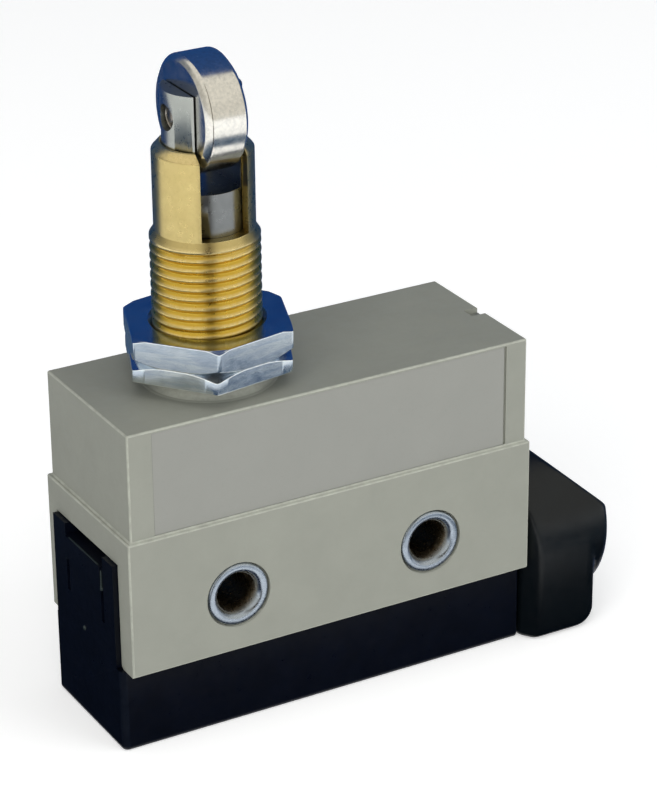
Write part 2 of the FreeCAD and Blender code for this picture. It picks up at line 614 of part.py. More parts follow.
# ===========================================================================
# Threaded bushing (brass), slotted for the roller
# ===========================================================================
b = new_body("threaded_bushing")
sk = new_sketch(b, "bushing_section", "XZ_Plane", 0.0, 0.0, 0.0)
foot = d("bush_foot")
add_poly(sk, [
    (d("spring_bore_rad"), foot),
    (d("bush_flange_rad"), foot),
    (d("bush_flange_rad"), d("roof_level") - d("roof_thick")),
    (d("shank_rad"), d("roof_level") - d("roof_thick")),
    (d("shank_rad"), d("shank_top")),
    (d("thread_rad"), d("shank_top")),
    (d("thread_rad"), d("thread_top")),
    (d("neck_rad"), d("neck_foot")),
    (d("neck_rad"), d("bush_top") - d("bush_cham")),
    (d("neck_rad") - d("bush_cham"), d("bush_top")),
    (d("bush_bore_rad"), d("bush_top")),
    (d("bush_bore_rad"), d("spring_bore_top")),
    (d("spring_bore_rad"), d("spring_bore_top")),
])
revolve(b, sk, "bushing_turned")
box_pocket(b, "roller_slot", -0.5 * d("bush_slot"), 0.5 * d("bush_slot"), -d("neck_rad") - 1.0, d("neck_rad") + 1.0, d("bush_slot_foot"), d("bush_top") + 0.5)
b.Placement = Placement(Vector(AX.v, 0, 0), Rotation())
bind(b, ".Placement.Base.x", AX)
node(b, "threaded_bushing")


# ===========================================================================
# Panel nuts: hexagons, each chamfered on the side that faces the other
# ===========================================================================
def hex_nut(label, thick, base, turn, chamfer_top):
    thick, base, turn = Q.of(thick), Q.of(base), Q.of(turn)
    nb = new_body(label)
    s = new_sketch(nb, label + "_hexagon", "XY_Plane")
    R = d("nut_rad")
    pts = [Vector(R.v * math.cos(math.radians(60 * k)), R.v * math.sin(math.radians(60 * k)), 0) for k in range(6)]
    for k in range(6):
        s.addGeometry(Part.LineSegment(pts[k], pts[(k + 1) % 6]), False)
    g = s.addGeometry(Part.Circle(Vector(0, 0, 0), Vector(0, 0, 1), R.v), True)
    for k in range(6):
        s.addConstraint(Sketcher.Constraint("Coincident", k, 2, (k + 1) % 6, 1))
    for k in range(6):
        s.addConstraint(Sketcher.Constraint("PointOnObject", k, 1, g))
    for k in range(5):
        s.addConstraint(Sketcher.Constraint("Equal", k, k + 1))
    s.addConstraint(Sketcher.Constraint("Coincident", g, 3, -1, 1))
    s.addConstraint(Sketcher.Constraint("PointOnObject", 0, 1, -1))
    c = s.addConstraint(Sketcher.Constraint("Radius", g, R.v))
    s.setExpression("Constraints[%d]" % c, R.e)
    pad(nb, s, label + "_blank", thick)
    round_z(nb, "pocket", label + "_bore", 0.0, 0.0, d("bush_hole_rad"), 0.0, thick)
    # 30 degree chamfer outside the chamfer circle
    reach = 12.0
    fall = (reach - VALUE["nut_cham_rad"]) * math.tan(math.radians(30))
    s = new_sketch(nb, label + "_chamfer_section", "XZ_Plane")
    if chamfer_top:
        add_poly(s, [(d("nut_cham_rad"), thick), (reach, thick), (reach, thick - fall)])
    else:
        add_poly(s, [(d("nut_cham_rad"), 0.0), (reach, 0.0), (reach, fall)])
    groove(nb, s, label + "_chamfer")
    nb.Placement = Placement(Vector(AX.v, 0, base.v), Rotation(Vector(0, 0, 1), turn.v))
    bind(nb, ".Placement.Base.x", AX)
    bind(nb, ".Placement.Base.z", base)
    bind(nb, ".Placement.Rotation.Angle", turn)
    node(nb, label)


hex_nut("panel_nut_lower", d("lower_nut_thick"), d("boss_level"), d("lower_nut_turn"), True)
hex_nut("panel_nut_upper", d("upper_nut_thick"), d("boss_level") + d("lower_nut_thick"), d("upper_nut_turn"), False)

# ===========================================================================
# Plunger: clevis on top, guide cylinder, collar, stem and blind bore
# ===========================================================================
b = new_body("plunger")
sk = new_sketch(b, "plunger_section", "XZ_Plane")
add_poly(sk, [
    (0.0, d("stem_bore_top")),
    (d("stem_bore_rad"), d("stem_bore_top")),
    (d("stem_bore_rad"), d("plunger_foot")),
    (d("stem_rad"), d("plunger_foot")),
    (d("stem_rad"), d("collar_foot")),
    (d("collar_rad"), d("collar_foot")),
    (d("collar_rad"), d("collar_top")),
    (d("plunger_rad"), d("collar_top")),
    (d("plunger_rad"), d("ring_level") - d("ring_groove_half")),
    (d("ring_groove_rad"), d("ring_level") - d("ring_groove_half")),
    (d("ring_groove_rad"), d("ring_level") + d("ring_groove_half")),
    (d("plunger_rad"), d("ring_level") + d("ring_groove_half")),
    (d("plunger_rad"), d("plunger_top")),
    (0.0, d("plunger_top")),
])
revolve(b, sk, "plunger_turned")
box_pocket(b, "clevis_gap", -0.5 * d("clevis_slot"), 0.5 * d("clevis_slot"), -d("plunger_rad") - 1.0, d("plunger_rad") + 1.0, d("clevis_floor"), d("plunger_top") + 0.5)
round_x(b, "pin_hole", 0.0, d("pin_level"), d("pin_hole_rad"), -d("plunger_rad") - 0.5, d("plunger_rad") + 0.5)
b.Placement = Placement(Vector(AX.v, 0, 0), Rotation())
bind(b, ".Placement.Base.x", AX)
node(b, "plunger")

# Roller: turned ring with bevelled rims, about the cross axis
b = new_body("roller")
sk = new_sketch(b, "roller_section", "XZ_Plane")
rw = d("roller_width")
add_poly(sk, [
    (d("roller_bore_rad"), 0.0),
    (d("roller_rad") - d("roller_bevel_rad"), 0.0),
    (d("roller_rad"), d("roller_bevel")),
    (d("roller_rad"), rw - d("roller_bevel")),
    (d("roller_rad") - d("roller_bevel_rad"), rw),
    (d("roller_bore_rad"), rw),
])
revolve(b, sk, "roller_turned")
b.Placement = Placement(Vector(AX.v - 0.5 * rw.v, 0, VALUE["pin_level"]), Rotation(Vector(0, 1, 0), 90))
bind(b, ".Placement.Base.x", AX - 0.5 * rw)
bind(b, ".Placement.Base.z", d("pin_level"))
node(b, "roller")

# Roller pin, riveted into the clevis ears
pin = p_cyl_x("pin_rod", AX - d("pin_half"), AX + d("pin_half"), 0.0, d("pin_level"), d("pin_rad"))
node(pin, "roller_pin")

# O-ring on the plunger
tor = doc.addObject("Part::Torus", "oring")
bind(tor, "Radius1", d("ring_mean_rad"))
bind(tor, "Radius2", d("ring_sec_rad"))
bind(tor, ".Placement.Base.x", AX)
bind(tor, ".Placement.Base.z", d("ring_level"))
node(tor, "plunger_oring")

# Spring seat pressed into the foot of the bushing
seat_o = p_cyl("seat_outer", AX, 0.0, foot + 0.05, foot + 0.05 + d("seat_thick"), d("seat_rad"))
seat_i = p_cyl("seat_inner", AX, 0.0, foot - 0.5, foot + 1.5, d("seat_bore_rad"))
node(p_cut("seat", seat_o, seat_i), "spring_seat")


# Springs: round wire swept along a helix, closed in by the two faces it works between
def spring(label, z0, z1, mean, wire, turns):
    pitch = (z1 - z0 - 2 * wire) / turns
    helix = Part.makeLongHelix(pitch, pitch * turns, mean)
    circle = Part.Wire([Part.Circle(Vector(mean, 0, 0), Vector(0, 1, pitch / (2 * math.pi * mean)), wire).toShape()])
    solid = Part.Wire(helix.Edges).makePipeShell([circle], True, True)
    o = doc.addObject("Part::Feature", label + "_wire")
    o.Shape = solid
    o.Placement = Placement(Vector(AX.v, 0, z0 + wire), Rotation())
    return node(o, label)


g = lambda alias: float(sheet.get(alias))
seat_top = g("bush_foot") + 0.05 + g("seat_thick")
spring("return_spring", seat_top + 0.12, g("collar_foot") - 0.12, g("spring_mean_rad"), g("spring_wire_rad"), g("spring_turns"))
spring("overtravel_spring", g("pusher_top") + 0.10, g("stem_bore_top") - 0.10, g("over_mean_rad"), g("over_wire_rad"), g("over_turns"))

# Auxiliary pusher between the plunger and the switch button
up = p_cyl("pusher_body", AX, 0.0, d("pusher_step"), d("pusher_top"), d("pusher_rad"))
tip = p_cyl("pusher_tip_rod", AX, 0.0, d("pusher_tip"), d("pusher_step") + 0.2, d("pusher_tip_rad"))
node(p_fuse("pusher", [up, tip]), "auxiliary_pusher")

# Diaphragm seal under the bushing flange
so = p_cyl("seal_outer", AX, 0.0, d("seal_low"), d("seal_low") + d("seal_thick"), d("seal_rad"))
si = p_cyl("seal_inner", AX, 0.0, d("seal_low") - 0.5, d("seal_low") + d("seal_thick") + 0.5, d("seal_bore_rad"))
node(p_cut("seal", so, si), "diaphragm_seal")

# ===========================================================================
# Basic switch inside the case
# ===========================================================================
b = new_body("switch_base")
box_pad(b, "base_block", -d("switch_half_x"), d("switch_half_x"), -d("switch_half_y"), d("switch_half_y"), -d("switch_bottom"), d("switch_split"))
box_pocket(b, "base_room", -d("switch_room_x"), d("switch_room_x"), -d("switch_room_y"), d("switch_room_y"), d("switch_floor"), d("switch_split"))
for tag, sx in (("left", -d("pitch_half")), ("right", d("pitch_half"))):
    round_y(b, "base_hole_" + tag, sx, 0.0, d("switch_hole_rad"), -d("switch_half_y"), d("switch_half_y"))
for tag, tx in (("nc", -d("terminal_x")), ("no", Q.of(0.0)), ("com", d("terminal_x"))):
    side = {"nc": -1.0, "no": 0.0, "com": 1.0}[tag]
    inner = tx + side * 1.0
    box_pocket(b, "strip_slot_" + tag, inner - 0.5 * d("terminal_thick") - 0.05, inner + 0.5 * d("terminal_thick") + 0.05, -2.05, 2.05, -d("switch_bottom"), d("switch_floor"))
for tag, tx in (("nc", -d("terminal_x")), ("no", Q.of(0.0)), ("com", d("terminal_x"))):
    side = {"nc": -1.0, "no": 1.0, "com": 1.0}[tag]
    round_z(b, "pocket", "screw_hole_" + tag, tx - side * 1.9 if tag != "no" else tx + 2.5, 0.0, d("screw_rad") + 0.05, -d("switch_bottom"), -d("switch_bottom") + 3.2)
node(b, "switch_base")

b = new_body("switch_cover")
box_pad(b, "cover_block", -d("switch_half_x"), d("switch_half_x"), -d("switch_half_y"), d("switch_half_y"), d("switch_split"), d("switch_top"))
box_pocket(b, "cover_room", -d("switch_room_x"), d("switch_room_x"), -d("switch_room_y"), d("switch_room_y"), d("switch_split"), d("switch_ceiling"))
round_z(b, "pocket", "button_hole", AX, 0.0, d("button_rad") + 0.05, d("switch_ceiling") - 0.2, d("switch_top"))
node(b, "switch_cover")

# Switch button: stem with a flange under the ceiling
bs = p_cyl("button_stem", AX, 0.0, d("button_foot"), d("button_top"), d("button_rad"))
bf = p_cyl("button_flange", AX, 0.0, d("switch_ceiling") - 1.6, d("switch_ceiling") - 0.4, d("button_flange_rad"))
node(p_fuse("button", [bs, bf]), "switch_button")

# Terminals: plate below the switch, strip through its base, arm to the contact
T = d("terminal_thick")
TZ = -d("switch_bottom")


def terminal(label, cx, strip_x, strip_top, arm):
    cx, strip_x = Q.of(cx), Q.of(strip_x)
    cut_x = cx + (1.9 if label == "nc_terminal" else (-1.9 if label == "common_terminal" else 2.5))
    plate_x0, plate_x1 = cx - d("terminal_half_x"), cx + d("terminal_half_x")
    if label == "no_terminal":
        plate_x0, plate_x1 = cx - 1.0, cx + 5.8
    pl = p_box(label + "_plate", plate_x0, plate_x1, -d("terminal_half_y"), d("terminal_half_y"), TZ - T, TZ)
    st = p_box(label + "_strip", strip_x - 0.5 * T, strip_x + 0.5 * T, -2.0, 2.0, TZ - 0.4 * T, strip_top)
    parts = [pl, st]
    if arm is not None:
        parts.append(p_box(label + "_arm", *arm))
    f = p_fuse(label + "_sheet", parts)
    h = p_cyl(label + "_hole", cut_x, 0.0, TZ - T - 0.5, TZ + 0.5, d("screw_rad") + 0.05)
    return node(p_cut(label + "_cut", f, h), label)


blade_top = d("blade_level") + d("blade_thick")
nc_face = d("blade_level") + 0.5 * d("blade_thick") + d("moving_half") + 0.04
nc_arm_z = nc_face + 1.1
terminal("nc_terminal", -d("terminal_x"), -d("terminal_x") - 1.0, nc_arm_z + T, (-d("terminal_x") - 1.0 - 0.5 * T, -d("contact_x") + 1.9, -2.0, 2.0, nc_arm_z, nc_arm_z + T))
terminal("no_terminal", 0.0, 0.0, d("switch_floor") + 0.10 + T, (-d("contact_x") - 1.9, 0.5 * T, -2.0, 2.0, d("switch_floor") + 0.10, d("switch_floor") + 0.10 + T))
terminal("common_terminal", d("terminal_x"), d("terminal_x") + 1.0, d("blade_level") + 1.6, None)

# Fixed contacts, moving contact and snap blade
no_face = d("blade_level") + 0.5 * d("blade_thick") - d("moving_half") - 0.60
node(p_cyl("nc_rivet", -d("contact_x"), 0.0, nc_face, nc_arm_z, d("contact_rad")), "nc_contact")
node(p_cyl("no_rivet", -d("contact_x"), 0.0, d("switch_floor") + 0.10 + T, no_face, d("contact_rad")), "no_contact")
bl = p_box("blade_strip", -d("blade_left"), d("blade_right"), -d("blade_half_y"), d("blade_half_y"), d("blade_level"), blade_top)
bh = p_cyl("blade_hole", -d("contact_x"), 0.0, d("blade_level") - 0.5, blade_top + 0.5, d("contact_rad") - 0.55)
bw = p_box("blade_window", -13.6, 6.0, -0.9, 0.9, d("blade_level") - 0.5, blade_top + 0.5)
blade_bar = p_box("blade_bar", AX - 1.2, AX + 1.2, -1.2, 1.2, d("blade_level"), blade_top)
blade_cut = p_cut("blade_pierced", p_cut("blade_holed", bl, bh), bw)
pivot = doc.addObject("Part::Cylinder", "blade_pivot")
pivot.Placement = Placement(Vector(VALUE["pivot_x"], -VALUE["blade_half_y"], VALUE["blade_level"] + 0.5 * VALUE["blade_thick"]), Rotation(Vector(1, 0, 0), -90), Vector(0, 0, 0))
bind(pivot, "Radius", d("pivot_rad"))
bind(pivot, "Height", d("blade_half_y") * 2)
bind(pivot, ".Placement.Base.x", d("pivot_x"))
bind(pivot, ".Placement.Base.y", -d("blade_half_y"))
bind(pivot, ".Placement.Base.z", d("blade_level") + 0.5 * d("blade_thick"))
node(p_fuse("blade", [blade_cut, blade_bar, pivot]), "snap_blade")
mid_z = d("blade_level") + 0.5 * d("blade_thick")
m_lo = p_cyl("moving_low", -d("contact_x"), 0.0, mid_z - d("moving_half"), d("blade_level"), d("contact_rad"))
m_hi = p_cyl("moving_high", -d("contact_x"), 0.0, blade_top, mid_z + d("moving_half"), d("contact_rad"))
m_sh = p_cyl("moving_shank", -d("contact_x"), 0.0, mid_z - 0.5, mid_z + 0.5, d("contact_rad") - 0.60)
node(p_fuse("moving_rivet", [m_lo, m_hi, m_sh]), "moving_contact")

# Terminal screws and their washers
screw_x = [-d("terminal_x") + 1.9, Q.of(2.5), d("terminal_x") - 1.9]
screws, washers = [], []
for i, cx in enumerate(screw_x):
    w_top = TZ - T
    wo = p_cyl("washer_disc_%d" % i, cx, 0.0, w_top - d("washer_thick"), w_top, d("washer_rad"))
    wi = p_cyl("washer_hole_%d" % i, cx, 0.0, w_top - 1.5, w_top + 0.5, d("screw_rad") + 0.10)
    washers.append(p_cut("washer_%d" % i, wo, wi))
    h_top = w_top - d("washer_thick")
    hd = p_cyl("screw_head_%d" % i, cx, 0.0, h_top - d("screw_head"), h_top, d("screw_head_rad"))
    sh = p_cyl("screw_shank_%d" % i, cx, 0.0, h_top - 0.2, h_top - 0.2 + d("screw_len") - 1.2, d("screw_rad"))
    fz = p_fuse("screw_blank_%d" % i, [hd, sh])
    slot = p_box("screw_slot_%d" % i, cx - 0.45, cx + 0.45, -4.0, 4.0, h_top - d("screw_head") - 0.5, h_top - d("screw_head") + 0.9)
    screws.append(p_cut("screw_%d" % i, fz, slot))
node(p_group("screw_set", screws), "terminal_screws")
node(p_group("washer_set", washers), "terminal_washers")

# ---------------------------------------------------------------------------
doc.recompute()
bad = [o.Name for o in doc.Objects if ("Invalid" in o.State or "Error" in o.State)]
if bad:
    raise RuntimeError("failed objects: " + ", ".join(bad))
labels = [o.Label for o in NODES]
if len(set(labels)) != len(labels):
    raise RuntimeError("two nodes share a label")
for o in NODES:
    if o.Shape.isNull() or not o.Shape.isValid() or len(o.Shape.Solids) < 1:
        raise RuntimeError("bad shape: " + o.Label)

os.makedirs("parts", exist_ok=True)
for f in os.listdir("parts"):
    if f.endswith(".step") and f[:-5] not in labels:
        os.remove(os.path.join("parts", f))
total = None
for o in NODES:
    o.Shape.exportStep(os.path.join("parts", o.Label + ".step"))
    bb = o.Shape.BoundBox
    total = FreeCAD.BoundBox(bb) if total is None else total.united(bb)
    print("%-18s solids %d  vol %9.2f  x %7.2f %7.2f  y %7.2f %7.2f  z %7.2f %7.2f" % (o.Label, len(o.Shape.Solids), o.Shape.Volume, bb.XMin, bb.XMax, bb.YMin, bb.YMax, bb.ZMin, bb.ZMax))
print("nodes", len(NODES), "box", total)
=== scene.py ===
import json
import math

import bmesh
import bpy
from mathutils import Matrix, Vector

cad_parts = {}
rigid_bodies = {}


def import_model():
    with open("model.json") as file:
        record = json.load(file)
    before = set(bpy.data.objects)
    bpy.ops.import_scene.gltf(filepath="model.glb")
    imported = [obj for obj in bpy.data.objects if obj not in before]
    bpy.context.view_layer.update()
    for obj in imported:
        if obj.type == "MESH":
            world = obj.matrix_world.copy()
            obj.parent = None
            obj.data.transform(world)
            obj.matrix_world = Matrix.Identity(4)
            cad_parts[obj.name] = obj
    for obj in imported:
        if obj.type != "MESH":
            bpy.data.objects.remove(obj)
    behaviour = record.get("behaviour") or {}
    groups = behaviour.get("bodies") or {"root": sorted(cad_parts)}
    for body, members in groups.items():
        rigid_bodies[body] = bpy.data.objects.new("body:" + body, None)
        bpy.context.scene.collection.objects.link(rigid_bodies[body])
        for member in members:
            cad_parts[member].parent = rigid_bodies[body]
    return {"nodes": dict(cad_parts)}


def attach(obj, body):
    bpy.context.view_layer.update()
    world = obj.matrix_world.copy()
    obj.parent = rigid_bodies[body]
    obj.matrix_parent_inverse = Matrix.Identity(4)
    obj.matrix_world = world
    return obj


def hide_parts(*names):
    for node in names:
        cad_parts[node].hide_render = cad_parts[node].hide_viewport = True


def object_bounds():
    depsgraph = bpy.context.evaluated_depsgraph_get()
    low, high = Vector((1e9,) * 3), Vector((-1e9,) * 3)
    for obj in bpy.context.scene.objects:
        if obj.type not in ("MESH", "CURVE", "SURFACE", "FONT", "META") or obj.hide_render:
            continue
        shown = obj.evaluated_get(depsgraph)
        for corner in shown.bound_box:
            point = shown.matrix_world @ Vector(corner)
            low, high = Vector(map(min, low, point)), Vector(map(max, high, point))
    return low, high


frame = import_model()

CAD_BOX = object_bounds()
NODES = frame["nodes"]
MM = 0.001
LABEL_GAP = 0.00005
AXIS_X = -10.35          # bushing, plunger and roller axis, mm


# ------------------------------------------------------------------ materials
def new_mat(name):
    m = bpy.data.materials.new(name)
    m.use_nodes = True
    nt = m.node_tree
    nt.nodes.clear()
    out = nt.nodes.new("ShaderNodeOutputMaterial")
    b = nt.nodes.new("ShaderNodeBsdfPrincipled")
    nt.links.new(b.outputs["BSDF"], out.inputs["Surface"])
    return m, nt, b


def coords(nt, scale=(1, 1, 1), offset=(0, 0, 0)):
    tc = nt.nodes.new("ShaderNodeTexCoord")
    mp = nt.nodes.new("ShaderNodeMapping")
    mp.inputs["Location"].default_value = offset
    mp.inputs["Scale"].default_value = scale
    nt.links.new(tc.outputs["Object"], mp.inputs["Vector"])
    return mp.outputs["Vector"]


def noise(nt, vec, scale, detail=3.0, rough=0.55, distort=0.0):
    n = nt.nodes.new("ShaderNodeTexNoise")
    n.inputs["Scale"].default_value = scale
    n.inputs["Detail"].default_value = detail
    n.inputs["Roughness"].default_value = rough
    n.inputs["Distortion"].default_value = distort
    nt.links.new(vec, n.inputs["Vector"])
    return n.outputs["Fac"]


def ramp(nt, fac, stops, interp="LINEAR"):
    r = nt.nodes.new("ShaderNodeValToRGB")
    r.color_ramp.interpolation = interp
    el = r.color_ramp.elements
    while len(el) < len(stops):
        el.new(0.5)
    for e, (p, c) in zip(el, stops):
        e.position = p
        e.color = (c[0], c[1], c[2], 1) if len(c) == 3 else c
    nt.links.new(fac, r.inputs["Fac"])
    return r.outputs["Color"]


def remap(nt, fac, lo, hi, a=0.3, b=0.7):
    m = nt.nodes.new("ShaderNodeMapRange")
    m.inputs["From Min"].default_value = a
    m.inputs["From Max"].default_value = b
    m.inputs["To Min"].default_value = lo
    m.inputs["To Max"].default_value = hi
    nt.links.new(fac, m.inputs["Value"])
    return m.outputs["Result"]


def math_node(nt, op, a, b):
    m = nt.nodes.new("ShaderNodeMath")
    m.operation = op
    for i, v in enumerate((a, b)):
        if isinstance(v, (int, float)):
            m.inputs[i].default_value = v
        else:
            nt.links.new(v, m.inputs[i])
    return m.outputs[0]


def mix_col(nt, fac, a, b, mode="MIX"):
    m = nt.nodes.new("ShaderNodeMix")
    m.data_type = "RGBA"
    m.blend_type = mode
    nt.links.new(fac, m.inputs["Factor"])
    for s, v in (("A", a), ("B", b)):
        sock = [i for i in m.inputs if i.name == s and i.type == "RGBA"][0]
        if isinstance(v, (tuple, list)):
            sock.default_value = (*v, 1)
        else:
            nt.links.new(v, sock)
    return [o for o in m.outputs if o.type == "RGBA"][0]


def bump(nt, height, dist, strength=1.0, prev=None):
    b = nt.nodes.new("ShaderNodeBump")
    b.inputs["Strength"].default_value = strength
    b.inputs["Distance"].default_value = dist
    nt.links.new(height, b.inputs["Height"])
    if prev is not None:
        nt.links.new(prev, b.inputs["Normal"])
    return b.outputs["Normal"]


def attr(nt, name):
    a = nt.nodes.new("ShaderNodeAttribute")
    a.attribute_name = name
    return a.outputs["Fac"]


def srgb(r, g, b):
    def f(c):
        c = c / 255.0
        return c / 12.92 if c <= 0.04045 else ((c + 0.055) / 1.055) ** 2.4
    return (f(r), f(g), f(b))


def scaled(c, k):
    return tuple(min(1.0, x * k) for x in c)


def plastic(name, col, var=0.06, rough=0.5, rvar=0.06, grain=5200, gdist=6e-6, mottle=260, spec=0.5,
            coat=0.0, edge=None, dust=0.0):
    """Moulded plastic: faint cloudy colour, speckle, fine eroded grain, and rounded edges tinted with the edge colour,
    which is wear and, where the edge colour is lighter, a painted edge highlight.
    """
    m, nt, b = new_mat(name)
    v = coords(nt)
    cloud = noise(nt, v, mottle, 4, 0.6, 0.3)
    base = ramp(nt, cloud, [(0.3, scaled(col, 1 - var)), (0.7, scaled(col, 1 + var))])
    speck = noise(nt, v, 3000, 2, 0.5)
    sp = ramp(nt, speck, [(0.62, (0, 0, 0)), (0.75, (1, 1, 1))])
    base = mix_col(nt, math_node(nt, "MULTIPLY", sp, 0.12), base, scaled(col, 0.72))
    # painted highlight mixed with wear: bevel faces marked edge take the edge colour, broken up by noise
    if edge is not None:
        edge_wear_and_highlight = noise(nt, v, 900, 4, 0.6)
        k = math_node(nt, "MULTIPLY", attr(nt, "edge"), remap(nt, edge_wear_and_highlight, 0.45, 1.0, 0.35, 0.6))
        base = mix_col(nt, k, base, edge)
    nt.links.new(base, b.inputs["Base Color"])
    r1 = noise(nt, v, mottle * 3.1, 4, 0.6)
    r2 = remap(nt, r1, rough - rvar, rough + rvar)
    nt.links.new(r2, b.inputs["Roughness"])
    b.inputs["Specular IOR Level"].default_value = spec
    if coat:
        b.inputs["Coat Weight"].default_value = coat
        b.inputs["Coat Roughness"].default_value = 0.35
    g = noise(nt, v, grain, 3, 0.6)
    n1 = bump(nt, g, gdist)
    w = noise(nt, v, 120, 2, 0.5)
    n2 = bump(nt, w, 2.5e-5, 1.0, n1)
    nt.links.new(n2, b.inputs["Normal"])
    return m


def metal(name, col, dark, rough=0.22, rvar=0.07, stain=420, lathe=None, lines=0.0, grain=0.0, tarnish=0.35,
          aniso=0.0, edge=None, low_tint_and_shade=None, bands=None, low_tint_and_shade_z=(0.0392, 0.0412),
          specks=0.16, bore_shade=None):
    """Plated or turned metal: clouded tarnish, uneven polish and, where lathe is "Z" or "X", fine turning lines."""
    m, nt, b = new_mat(name)
    b.inputs["Metallic"].default_value = 1.0
    v = coords(nt)
    cloud = noise(nt, v, stain, 5, 0.62, 0.4)
    k = remap(nt, cloud, 0.0, tarnish, 0.42, 0.72)
    base = mix_col(nt, k, col, dark)
    fine = noise(nt, v, 2600, 3, 0.6)
    base = mix_col(nt, remap(nt, fine, 0.0, specks, 0.5, 0.75), base, scaled(dark, 0.7))
    if low_tint_and_shade is not None:                          # below the given height the colour turns to the lower tint: a deeper gold on the brass thread than on the neck, painted shade on the stainless plunger
        sx = nt.nodes.new("ShaderNodeSeparateXYZ")
        nt.links.new(v, sx.inputs[0])
        dk = remap(nt, sx.outputs["Z"], 0.88, 0.0, *low_tint_and_shade_z)
        base = mix_col(nt, dk, base, low_tint_and_shade)
    if bore_shade is not None:                          # painted shade inside the rolled tube, inward of its flanges
        sx = nt.nodes.new("ShaderNodeSeparateXYZ")
        nt.links.new(v, sx.inputs[0])
        ay = math_node(nt, "ABSOLUTE", sx.outputs["Y"], 0.0)
        base = mix_col(nt, remap(nt, ay, 1.0, 0.0, 0.0094, 0.0103), base, bore_shade)
    if bands is not None:                         # drawn bar stock: streaks that run along each flat
        st = noise(nt, coords(nt, (0.10, 0.10, 1.0)), 1900, 2, 0.5)
        base = mix_col(nt, remap(nt, st, 0.0, 0.80, 0.42, 0.60), base, bands)
    # painted highlight: faces marked edge (roundings, chamfers, thread crests) take the lighter edge colour, broken up
    # by fine noise
    if edge is not None:
        e = math_node(nt, "MULTIPLY", attr(nt, "edge"), remap(nt, fine, 0.4, 0.95, 0.3, 0.6))
        base = mix_col(nt, e, base, edge)
    nt.links.new(base, b.inputs["Base Color"])
    rr = remap(nt, noise(nt, v, stain * 2.3, 5, 0.6), rough - rvar, rough + rvar)
    nt.links.new(rr, b.inputs["Roughness"])
    prev = None
    if lathe:
        s = (1, 1, 26) if lathe == "Z" else (26, 1, 1)
        o = (-AXIS_X * MM, 0, 0)
        lv = coords(nt, s, o)
        ln = noise(nt, lv, 420, 3, 0.7)
        prev = bump(nt, ln, lines or 2e-6)
    if grain:
        prev = bump(nt, noise(nt, v, 3800, 3, 0.6), grain, 1.0, prev)
    if prev is not None:
        nt.links.new(prev, b.inputs["Normal"])
    if aniso:
        b.inputs["Anisotropic"].default_value = aniso
    return m


M = {}
CASE = (0.240, 0.247, 0.213)
LABEL = (0.240, 0.243, 0.223)
# edge colours lighter than the base are a painted edge highlight, mixed with wear
M["case_plastic"] = plastic("mat_case", CASE, 0.035, 0.55, 0.06, 5200, 8e-6, 180, 0.35, edge=scaled(CASE, 1.45))
M["label_film"] = plastic("mat_label", LABEL, 0.018, 0.50, 0.05, 4200, 3e-6, 140, 0.30, edge=scaled(LABEL, 0.9))
# the cover's near-black, tinted navy as a painted reflection of the blue surroundings
M["black_plastic"] = plastic("mat_black", (0.0014, 0.0024, 0.0062), 0.2, 0.34, 0.07, 4600, 6e-6, 300, 0.20,
                             edge=(0.0035, 0.0055, 0.011))
M["boot_rubber"] = plastic("mat_boot", (0.0010, 0.0024, 0.0034), 0.18, 0.34, 0.06, 3600, 6.0e-6, 260, 0.40,
                           edge=(0.012, 0.016, 0.022))
# painted highlight: a lighter near-black for the latch bead, its feet and the pip
M["latch_edge"] = plastic("mat_latch_painted_highlight", (0.016, 0.024, 0.023), 0.2, 0.40, 0.06, 4600, 5e-6, 300, 0.35)
M["seal_rubber"] = plastic("mat_seal", (0.012, 0.012, 0.013), 0.2, 0.6, 0.06, 4200, 9e-6, 300, 0.35)
# the eyelet's bore colour is painted shade
M["eyelet_steel"] = metal("mat_eyelet", (0.43, 0.49, 0.56), (0.34, 0.40, 0.47), 0.28, 0.05, 700, grain=2e-6, tarnish=0.25,
                          bore_shade=(0.40, 0.34, 0.25))
M["bushing_brass"] = metal("mat_brass", (0.66, 0.53, 0.225), (0.54, 0.41, 0.15), 0.30, 0.05, 500, lathe="Z", lines=2e-6,
                           tarnish=0.3, edge=(0.86, 0.70, 0.34), low_tint_and_shade=(0.74, 0.49, 0.052), low_tint_and_shade_z=(0.0392, 0.0400))
M["nut_zinc"] = metal("mat_zinc", (0.64, 0.70, 0.73), (0.36, 0.44, 0.54), 0.20, 0.05, 380, grain=2.5e-6,
                      edge=(0.92, 0.94, 0.92), bands=(0.46, 0.54, 0.63))
# painted shade: the plunger darkens below about 47.8 mm, where it lies deep in the bushing slot
M["stainless"] = metal("mat_stainless", (0.42, 0.44, 0.41), (0.30, 0.31, 0.30), 0.30, 0.05, 520, lathe="Z", lines=2e-6,
                       edge=(0.62, 0.62, 0.59), low_tint_and_shade=(0.20, 0.21, 0.215), low_tint_and_shade_z=(0.0462, 0.0478), specks=0.05, tarnish=0.15)
M["roller_steel"] = metal("mat_roller", (0.62, 0.61, 0.57), (0.50, 0.50, 0.47), 0.20, 0.04, 520, lathe="X", lines=1.6e-6,
                          edge=(0.86, 0.84, 0.78), tarnish=0.2, specks=0.05)
